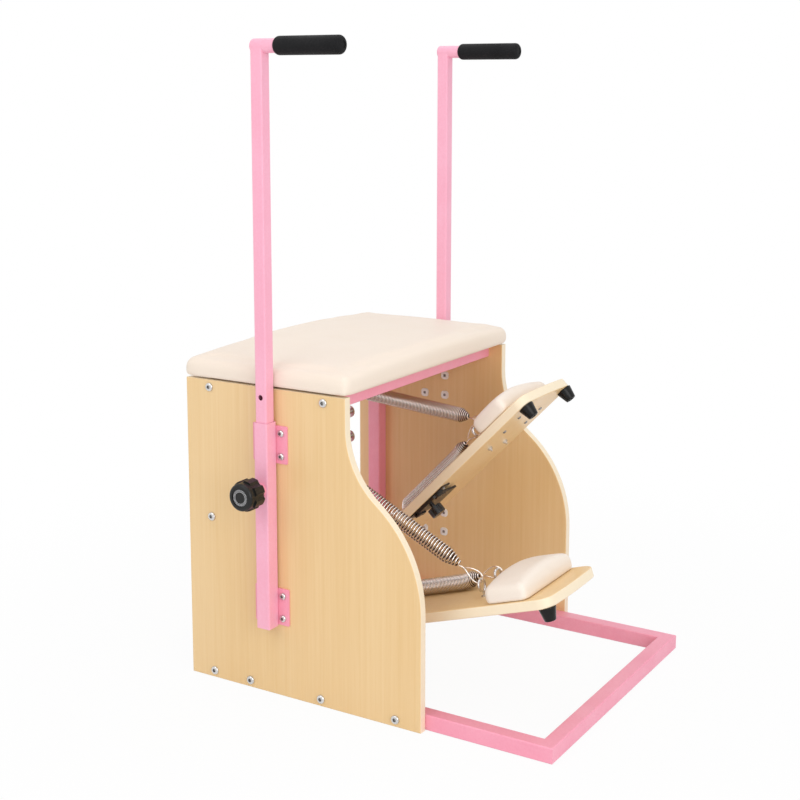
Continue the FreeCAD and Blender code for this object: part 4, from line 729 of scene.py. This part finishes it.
def plate_nut(thickness):
    """A nearly square plate with a hole, along Z and centred on the origin."""
    only()
    bpy.ops.mesh.primitive_cylinder_add(vertices=NUT_SIDES, radius=NUT_FLANGE / 2, depth=thickness,
                                        location=(0, 0, 0))
    nut = bpy.context.object
    for side in range(4):
        way = Vector((math.cos(side * math.pi / 2), math.sin(side * math.pi / 2), 0))
        pick(nut, "FACE", lambda face: True)
        bpy.ops.mesh.bisect(plane_co=way * NUT_HALF_SIDE, plane_no=way, use_fill=True, clear_outer=True)
    top = thickness / 2 - MERGE
    corner = nut.data.vertices
    pick(nut, "EDGE", lambda edge: all(corner[v].co.z > top for v in edge.vertices))
    bpy.ops.mesh.bevel(offset=NUT_EASE, segments=2, affect="EDGES")
    pick(nut, "FACE", lambda face: face.normal.z > FACING and len(face.vertices) > PLATE_CORNERS)
    bpy.ops.mesh.inset(thickness=NUT_HALF_SIDE - NUT_EASE - NUT_HOLE - NUT_RIM)
    bpy.ops.object.mode_set(mode="OBJECT")
    for vertex in nut.data.vertices:
        if vertex.select:
            vertex.co.xy = vertex.co.xy.normalized() * NUT_HOLE
    bpy.ops.object.mode_set(mode="EDIT")
    bpy.ops.mesh.extrude_region_move(TRANSFORM_OT_translate={"value": (0, 0, -thickness * HOLE_SHARE)})
    smooth(nut, CREASE)
    return nut


corners = solids_of("bracket_nuts")
plate = min(high.x - low.x for low, high in corners)
overall = corners[0][1] - corners[0][0]
print("plate nuts", len(corners), "overall", [round(1000 * v, 1) for v in overall], "mm")
places = []
for low, high in corners:
    turn = Matrix.Rotation(-outward(low, high) * math.pi / 2, 4, "Y")
    places.append(Matrix.Translation((low + high) / 2) @ turn)
nuts = settle(set_out(plate_nut(plate), places), "bracket_plate_nuts", zinc)
panel_inside = max(abs(low.x) for low, high in corners)
# The hole's faces get plain steel as painted shade.
paint_shade_in_holes(nuts, corners, NUT_HOLE, (panel_inside - plate, panel_inside), steel)
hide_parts("bracket_nuts")
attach(nuts, "frame")

# %% [markdown]
# The pedals come down on rubber feet: short cones with an eased tip and a sunk middle, where a
# screw holds each foot to its board. A cone is bevelled at both rims and its tip is inset and
# pushed in. A pedal is stored at its angle, so a helper turns pedal measures, the reach from the
# hinge and the rise over it, into a place.

# %% Rubber feet
FOOT_TOP = 0.033
FOOT_TIP = 0.021
FOOT_HEIGHT = 0.025
FOOT_REACH = 0.688
FOOT_SIDES = 36
FOOT_EASE = 0.0016
FOOT_CREASE = 30
# Shares of the foot's tip, height and top: the dish's rim and depth, and where the top rim begins.
DISH_RIM = 0.26
DISH_DEPTH = 0.22
RIM_BEGINS = 0.49
FOOT_LINES = {"left": (-0.207,), "right": (0.034, 0.207)}


def pedal_place(side, x, reach, rise):
    """Where a point of a pedal lies at rest, with Z square to the board and Y back to the hinge."""
    angle = PEDAL_ANGLE[side]
    drop = Vector((x, rise * math.sin(angle) - reach * math.cos(angle),
                   reach * math.sin(angle) + rise * math.cos(angle)))
    return Matrix.Translation(hinge_line + drop) @ Matrix.Rotation(-angle, 4, "X")


def rubber_foot():
    """A foot that hangs down from the origin."""
    only()
    bpy.ops.mesh.primitive_cone_add(vertices=FOOT_SIDES, radius1=FOOT_TIP / 2, radius2=FOOT_TOP / 2,
                                    depth=FOOT_HEIGHT, location=(0, 0, -FOOT_HEIGHT / 2))
    foot = bpy.context.object
    bpy.ops.object.transform_apply(location=True)
    pick(foot, "FACE", lambda face: face.normal.z < -FACING)
    bpy.ops.mesh.inset(thickness=FOOT_TIP * DISH_RIM)
    bpy.ops.mesh.extrude_region_move(TRANSFORM_OT_translate={"value": (0, 0, FOOT_HEIGHT * DISH_DEPTH)})
    corner = foot.data.vertices

    def on_rim(edge):
        first, second = (corner[v].co for v in edge.vertices)
        level = abs(first.z - second.z) < MERGE
        return level and (first.z < MERGE - FOOT_HEIGHT or first.xy.length > FOOT_TOP * RIM_BEGINS)

    pick(foot, "EDGE", on_rim)
    bpy.ops.mesh.bevel(offset=FOOT_EASE, segments=3, affect="EDGES")
    smooth(foot, FOOT_CREASE)
    return foot


for side, lines in FOOT_LINES.items():
    feet = set_out(rubber_foot(), [pedal_place(side, x, FOOT_REACH, -BOARD_FACES[1]) for x in lines])
    settle(feet, f"{side}_rubber_feet", rubber)
    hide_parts(f"{side}_pedal_feet")
    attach(feet, f"{side}_pedal")
    print(feet.name, len(lines))

# %% [markdown]
# Black foam grips are pushed over the arms. Foam has no sharp edge, so both ends of the cylinder
# are bevelled to a soft round, and the front end is dished a little. The foam is a little fuller
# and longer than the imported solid, as in the photograph.

# %% Foam grips
GRIP_ROUND = 0.009
GRIP_FULLER = 0.001
GRIP_LONGER = 0.004
GRIP_SIDES = 48
GRIP_STEPS = 8
GRIP_CREASE = 40
# Rim and depth of the dish at the front end, as shares of the round.
DISH = (0.35, 0.1)


def foam_grip(side):
    """The foam over one arm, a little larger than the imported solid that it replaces."""
    low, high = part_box(f"{side}_grip")
    low.y -= GRIP_LONGER
    radius = (high.z - low.z) / 2 + GRIP_FULLER
    only()
    bpy.ops.mesh.primitive_cylinder_add(vertices=GRIP_SIDES, radius=radius, depth=high.y - low.y,
                                        location=(low + high) / 2, rotation=(math.pi / 2, 0, 0))
    grip = bpy.context.object
    bpy.ops.object.transform_apply(location=True, rotation=True)
    corner = grip.data.vertices

    def on_end(edge):
        first, second = (corner[v].co.y for v in edge.vertices)
        return abs(first - second) < MERGE

    pick(grip, "EDGE", on_end)
    bpy.ops.mesh.bevel(offset=GRIP_ROUND, segments=GRIP_STEPS, affect="EDGES")
    pick(grip, "FACE", lambda face: face.normal.y < -FACING)
    bpy.ops.mesh.inset(thickness=GRIP_ROUND * DISH[0])
    bpy.ops.mesh.extrude_region_move(TRANSFORM_OT_translate={"value": (0, GRIP_ROUND * DISH[1], 0)})
    smooth(grip, GRIP_CREASE)
    settle(grip, f"{side}_foam_grip", foam)
    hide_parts(f"{side}_grip")
    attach(grip, f"{side}_handle")
    print(grip.name, [round(1000 * v) for v in grip.dimensions], "mm")


for side in PEDAL_ANGLE:
    foam_grip(side)

# %% [markdown]
# The springs make the pedals work. Their wire is plain steel. The inside of each coil is painted dark
# as shade and the outside painted bright as a highlight, and that is what lets single turns show from
# a few metres away. An attribute, written when a spring is made, tells the finish which side of the
# wire is which.

# %% Spring wire
WIRE_PAINTED_SHADE = (0.12, 0.08, 0.065, 1)
WIRE_PAINTED_HIGHLIGHT = (0.88, 0.82, 0.77, 1)
HIGHLIGHT_FROM = (0.64, 0.96)
WIRE_SCALE = 600.0
WIRE_GLOSS = (0.16, 0.30)
WIRE_BUMP = (0.0002, 0.08)
OUTER_SIDE = "outer_side"

wire_steel, tree, shader, place = new_finish("spring_wire", Metallic=1.0)
relief(tree, shader, uneven_gloss(tree, shader, place, WIRE_SCALE, WIRE_GLOSS), *WIRE_BUMP)
outer = put(tree, "ShaderNodeAttribute", {}, attribute_name=OUTER_SIDE).outputs["Fac"]
# Painted shade inside the coil, painted highlight on its outside.
shade = mixed_color(tree, ramp(tree, outer, *HIGHLIGHT_FROM), WIRE_PAINTED_SHADE, WIRE_PAINTED_HIGHLIGHT)
tree.links.new(shade, shader.inputs["Base Color"])
print("wire bright outside and dull inside the coil")

# %% [markdown]
# Each spring is one wire: an eye, a short strand, a coil that opens like a cone over its first
# turns, and the same again at the other end. A screw modifier could wind the coil but not run on
# into the eyes, so the wire follows one smooth NURBS curve, which is given a round section and
# then made a mesh. A NURBS curve cuts inside its points, so the coil's points stand out a little.

# %% One spring along its own axis
WIRE = 0.0032
COIL = 0.0144
NECK = 0.003
STRAND = 0.042
TAPER_TURNS = 5
TAPER_POWER = 0.7
TURN_POINTS = 12
PULL_IN = (2 + math.cos(2 * math.pi / TURN_POINTS)) / 3
EYE = [(0.0300, 0.0018), (0.0240, 0.0050), (0.0120, 0.0110), (0, 0.0120), (-0.0085, 0.0085),
       (-0.0120, 0), (-0.0085, -0.0085), (0, -0.0120), (0.0120, -0.0105), (0.0240, -0.0042),
       (0.0310, -0.0016), (0.0370, -0.0014)]


def spring_points(length, turns, lift):
    """Curve points as along, up and across; the front eye is lifted off the axis by lift."""
    body = length - 2 * STRAND
    points = [(along, up, 0) for along, up in EYE]
    for step in range(turns * TURN_POINTS + 1):
        turned = step / TURN_POINTS
        share = turned / turns
        opened = min(1, min(turned, turns - turned) / TAPER_TURNS)
        radius = (NECK + (COIL - NECK) * opened ** TAPER_POWER) / PULL_IN
        angle = 2 * math.pi * turned - math.pi / 2
        points.append((STRAND + share * body, radius * math.sin(angle), radius * math.cos(angle)))
    points += [(length - along, up, 0) for along, up in reversed(EYE)]
    bent = []
    for along, up, across in points:
        share = min(1, max(0, (along - length + 2 * STRAND) / (2 * STRAND - COIL)))
        bent.append((along, up + lift * share * share * (3 - 2 * share), across))
    return bent


def spring(name, rear, front, turns, lift=0):
    """A spring from the middle of its rear eye to the middle of its front eye."""
    length = (front - rear).length
    way = (front - rear).normalized()
    across = Vector((1, 0, 0))
    up = way.cross(across)
    wire = bpy.data.curves.new(name, "CURVE")
    wire.dimensions = "3D"
    line = wire.splines.new("NURBS")
    points = spring_points(length, turns, lift)
    line.points.add(len(points) - 1)
    for point, (a, b, c) in zip(line.points, points):
        point.co = (*(rear + way * a + up * b + across * c), 1)
    line.order_u = 4
    line.use_endpoint_u = True
    line.resolution_u = 2
    wire.bevel_depth = WIRE / 2
    wire.bevel_resolution = 2
    wire.use_fill_caps = True
    piece = bpy.data.objects.new(name, wire)
    bpy.context.collection.objects.link(piece)
    only(piece)
    bpy.ops.object.convert(target="MESH")
    piece = bpy.context.object
    bpy.ops.object.shade_smooth()
    # How far each point faces out of the coil; the finish paints shade inside and a highlight outside.
    sides = piece.data.attributes.new(OUTER_SIDE, "FLOAT", "POINT")
    for vertex, side in zip(piece.data.vertices, sides.data):
        off = vertex.co - rear
        along = off.dot(way)
        coiled = STRAND < along < length - STRAND
        facing = vertex.normal.dot((off - way * along).normalized()) if coiled else 1
        side.value = (1 + facing) / 2
    settle(piece, name, wire_steel)
    print(name, len(piece.data.polygons), "faces, eyes", round(1000 * length), "mm apart")
    return piece


print("a spring of", round(2000 * COIL + 1000 * WIRE, 1), "mm across, wire", 1000 * WIRE, "mm")

# %% [markdown]
# Two springs work: each runs from a peg of its rack to the outer hook of its pedal, and stretches
# when the pedal goes down. The curve's ends stay on the peg and on the hook.

# %% Two working springs
SPRING_LINE = 0.155
PEG_HEIGHT = 0.497
# Reach from the hinge and rise over it.
HOOK_EYE = (0.535, 0.0245)
WORKING_TURNS = 75
PEG_SLACK = 0.0026
HOOK_SLACK = 0.0061

for side, line in (("left", -SPRING_LINE), ("right", SPRING_LINE)):
    peg = Vector((line, hinge_line.y, PEG_HEIGHT))
    hook = pedal_place(side, line, *HOOK_EYE).translation
    way = (hook - peg).normalized()
    rear, front = peg + way * PEG_SLACK, hook - way * HOOK_SLACK
    working = spring(f"{side}_working_spring", rear, front, WORKING_TURNS)
    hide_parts(f"{side}_outer_spring")
    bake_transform(working)

# %% [markdown]
# The other two springs are slack: each is hooked to its pedal only and lies on the board, so it
# rides on the pedal and nothing needs to bend. The right one shows as a thin line over its
# pedal's edge. It is a longer twin of the left one and has no solid of its own among the imported solids.

# %% Two slack springs
SLACK_RISE = 0.0083
SLACK_LIFT = 0.0101
SLACK_FRONT = 0.535
# For each side: where the front and the rear eye lie across the chair, the rear eye's reach from
# the hinge, and the number of turns.
SLACK = {"left": (-0.089, -0.089, 0.270, 55), "right": (0.096, 0.108, 0.225, 66)}

for side, (front_line, rear_line, rear_reach, turns) in SLACK.items():
    rear = pedal_place(side, rear_line, rear_reach, SLACK_RISE).translation
    front = pedal_place(side, front_line, SLACK_FRONT, SLACK_RISE).translation
    slack = spring(f"{side}_slack_spring", rear, front, turns, SLACK_LIFT)
    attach(slack, f"{side}_pedal")
    if side == "left":
        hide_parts("left_inner_spring")

# %% [markdown]
# The seat and the pedal pads are foam under a tight leatherette cover. Seen from above, their
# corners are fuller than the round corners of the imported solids. Each corner is therefore pushed
# out from a quarter circle to the squarer curve of a superellipse.

# %% Fuller corners
FULLNESS = 4


def filled_out(node, corner, place):
    """A function that moves a point of a round-cornered cushion so that its corners are fuller."""
    to_cushion = place.inverted()
    points = [to_cushion @ v.co for v in nodes[node].data.vertices]
    low = [min(p[i] for p in points) for i in range(2)]
    high = [max(p[i] for p in points) for i in range(2)]

    def moved(point):
        local = to_cushion @ point
        past = []
        for i in range(2):
            middle = (low[i] + high[i]) / 2
            past.append((local[i] - middle, (high[i] - low[i]) / 2 - corner))
        u, v = (max(0, abs(off) - straight) for off, straight in past)
        if u > 0 and v > 0:
            more = math.hypot(u, v) / (u ** FULLNESS + v ** FULLNESS) ** (1 / FULLNESS) - 1
            local.x += math.copysign(u * more, past[0][0])
            local.y += math.copysign(v * more, past[1][0])
        return place @ local

    return moved


print("corners filled out with power", FULLNESS)

# %% [markdown]
# A box with round edges looks hard. Each cushion is a copy of its solid that is remeshed, filled
# out at its corners, grown by a hair and blown up by a short cloth simulation with the underside
# held, like a cover that is pulled over foam and stapled under the board. A point only moves
# outwards, and a cap keeps it near where it started.

# %% Stuffing by simulation
PRESSURE = 4
FRAMES = 20
EASING = {"factor": 0.5, "iterations": 2}


def blown_up(piece, pins, outside, cap):
    """Swell a piece by cloth pressure; hand back how far each point went before the cap."""
    start = [v.co.copy() for v in piece.data.vertices]
    only(piece)
    bpy.ops.object.modifier_add(type="CLOTH")
    cloth = piece.modifiers[-1]
    cloth.settings.use_pressure = True
    cloth.settings.uniform_pressure_force = PRESSURE
    cloth.settings.vertex_group_mass = pins.name
    cloth.settings.effector_weights.gravity = 0
    cloth.collision_settings.use_collision = False
    for number in range(1, FRAMES + 1):
        bpy.context.scene.frame_set(number)
    bpy.ops.object.modifier_apply(modifier=cloth.name)
    ways = [max(0, (v.co - old).dot(n)) for v, old, n in zip(piece.data.vertices, start, outside)]
    for vertex, old, normal, way in zip(piece.data.vertices, start, outside, ways):
        vertex.co = old + normal * math.tanh(way / cap) * cap
    bpy.context.scene.frame_set(1)
    return ways


def stuffed(node, name, body, cover, shape, held, voxel, grown, cap):
    """A swollen copy of a padded solid; held says which points are stapled down."""
    piece = solid_copy(node)
    change(piece, "REMESH", mode="VOXEL", voxel_size=voxel)
    for vertex in piece.data.vertices:
        vertex.co = shape(vertex.co)
    change(piece, "SMOOTH", **EASING)
    pins = piece.vertex_groups.new(name="held")
    outside = [v.normal.copy() for v in piece.data.vertices]
    for vertex, normal in zip(piece.data.vertices, outside):
        if held(vertex.co):
            pins.add([vertex.index], 1.0, "REPLACE")
        else:
            vertex.co += normal * grown
    ways = blown_up(piece, pins, outside, cap)
    print(name, "swelled by up to", round(1000 * max(ways), 1), "mm before the cap")
    change(piece, "SMOOTH", **EASING)
    change(piece, "SUBSURF", levels=1, render_levels=1)
    only(piece)
    bpy.ops.object.shade_smooth()
    settle(piece, name, cover)
    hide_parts(node)
    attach(piece, body)
    print(name, len(piece.data.polygons), "faces", [round(1000 * v) for v in piece.dimensions], "mm")


print("cushions swell over", FRAMES, "frames")

# %% [markdown]
# The seat is one thick cushion with a board set into its underside. It is pinned along that
# underside and around the board, so that only the top and the sides swell.

# %% Seat cushion
PINNED = 0.004
BOARD_ROOM = 0.006
SEAT_CORNER = 0.024
seat_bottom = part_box("seat_cushion")[0].z
board_low, board_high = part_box("seat_board")


def seat_held(point):
    over_board = all(board_low[i] - BOARD_ROOM < point[i] < board_high[i] + BOARD_ROOM for i in range(3))
    return over_board or point.z < seat_bottom + PINNED


seat_shape = filled_out("seat_cushion", SEAT_CORNER, Matrix())
stuffed("seat_cushion", "seat_padding", "frame", seat_cover, seat_shape, seat_held,
        voxel=0.006, grown=0.001, cap=0.006)

# %% [markdown]
# The pads are thinner and lie on sloping boards. They are pinned where they meet their pedal, and
# that is found from a point's height over the board, measured square to it.

# %% Pedal pads
PAD_CORNER = 0.020


def pad_held(side):
    upright = pedal_place(side, 0, 0, 0).to_3x3() @ Vector((0, 0, 1))
    board_top = -BOARD_FACES[0]
    return lambda point: (point - hinge_line).dot(upright) < board_top + PINNED


for side in PEDAL_ANGLE:
    pad_shape = filled_out(f"{side}_pedal_pad", PAD_CORNER, pedal_place(side, 0, 0, 0))
    stuffed(f"{side}_pedal_pad", f"{side}_pad_padding", f"{side}_pedal", pad_cover, pad_shape, pad_held(side),
            voxel=0.004, grown=0.0005, cap=0.004)

# %% [markdown]

# %% Finish
print("scene built")
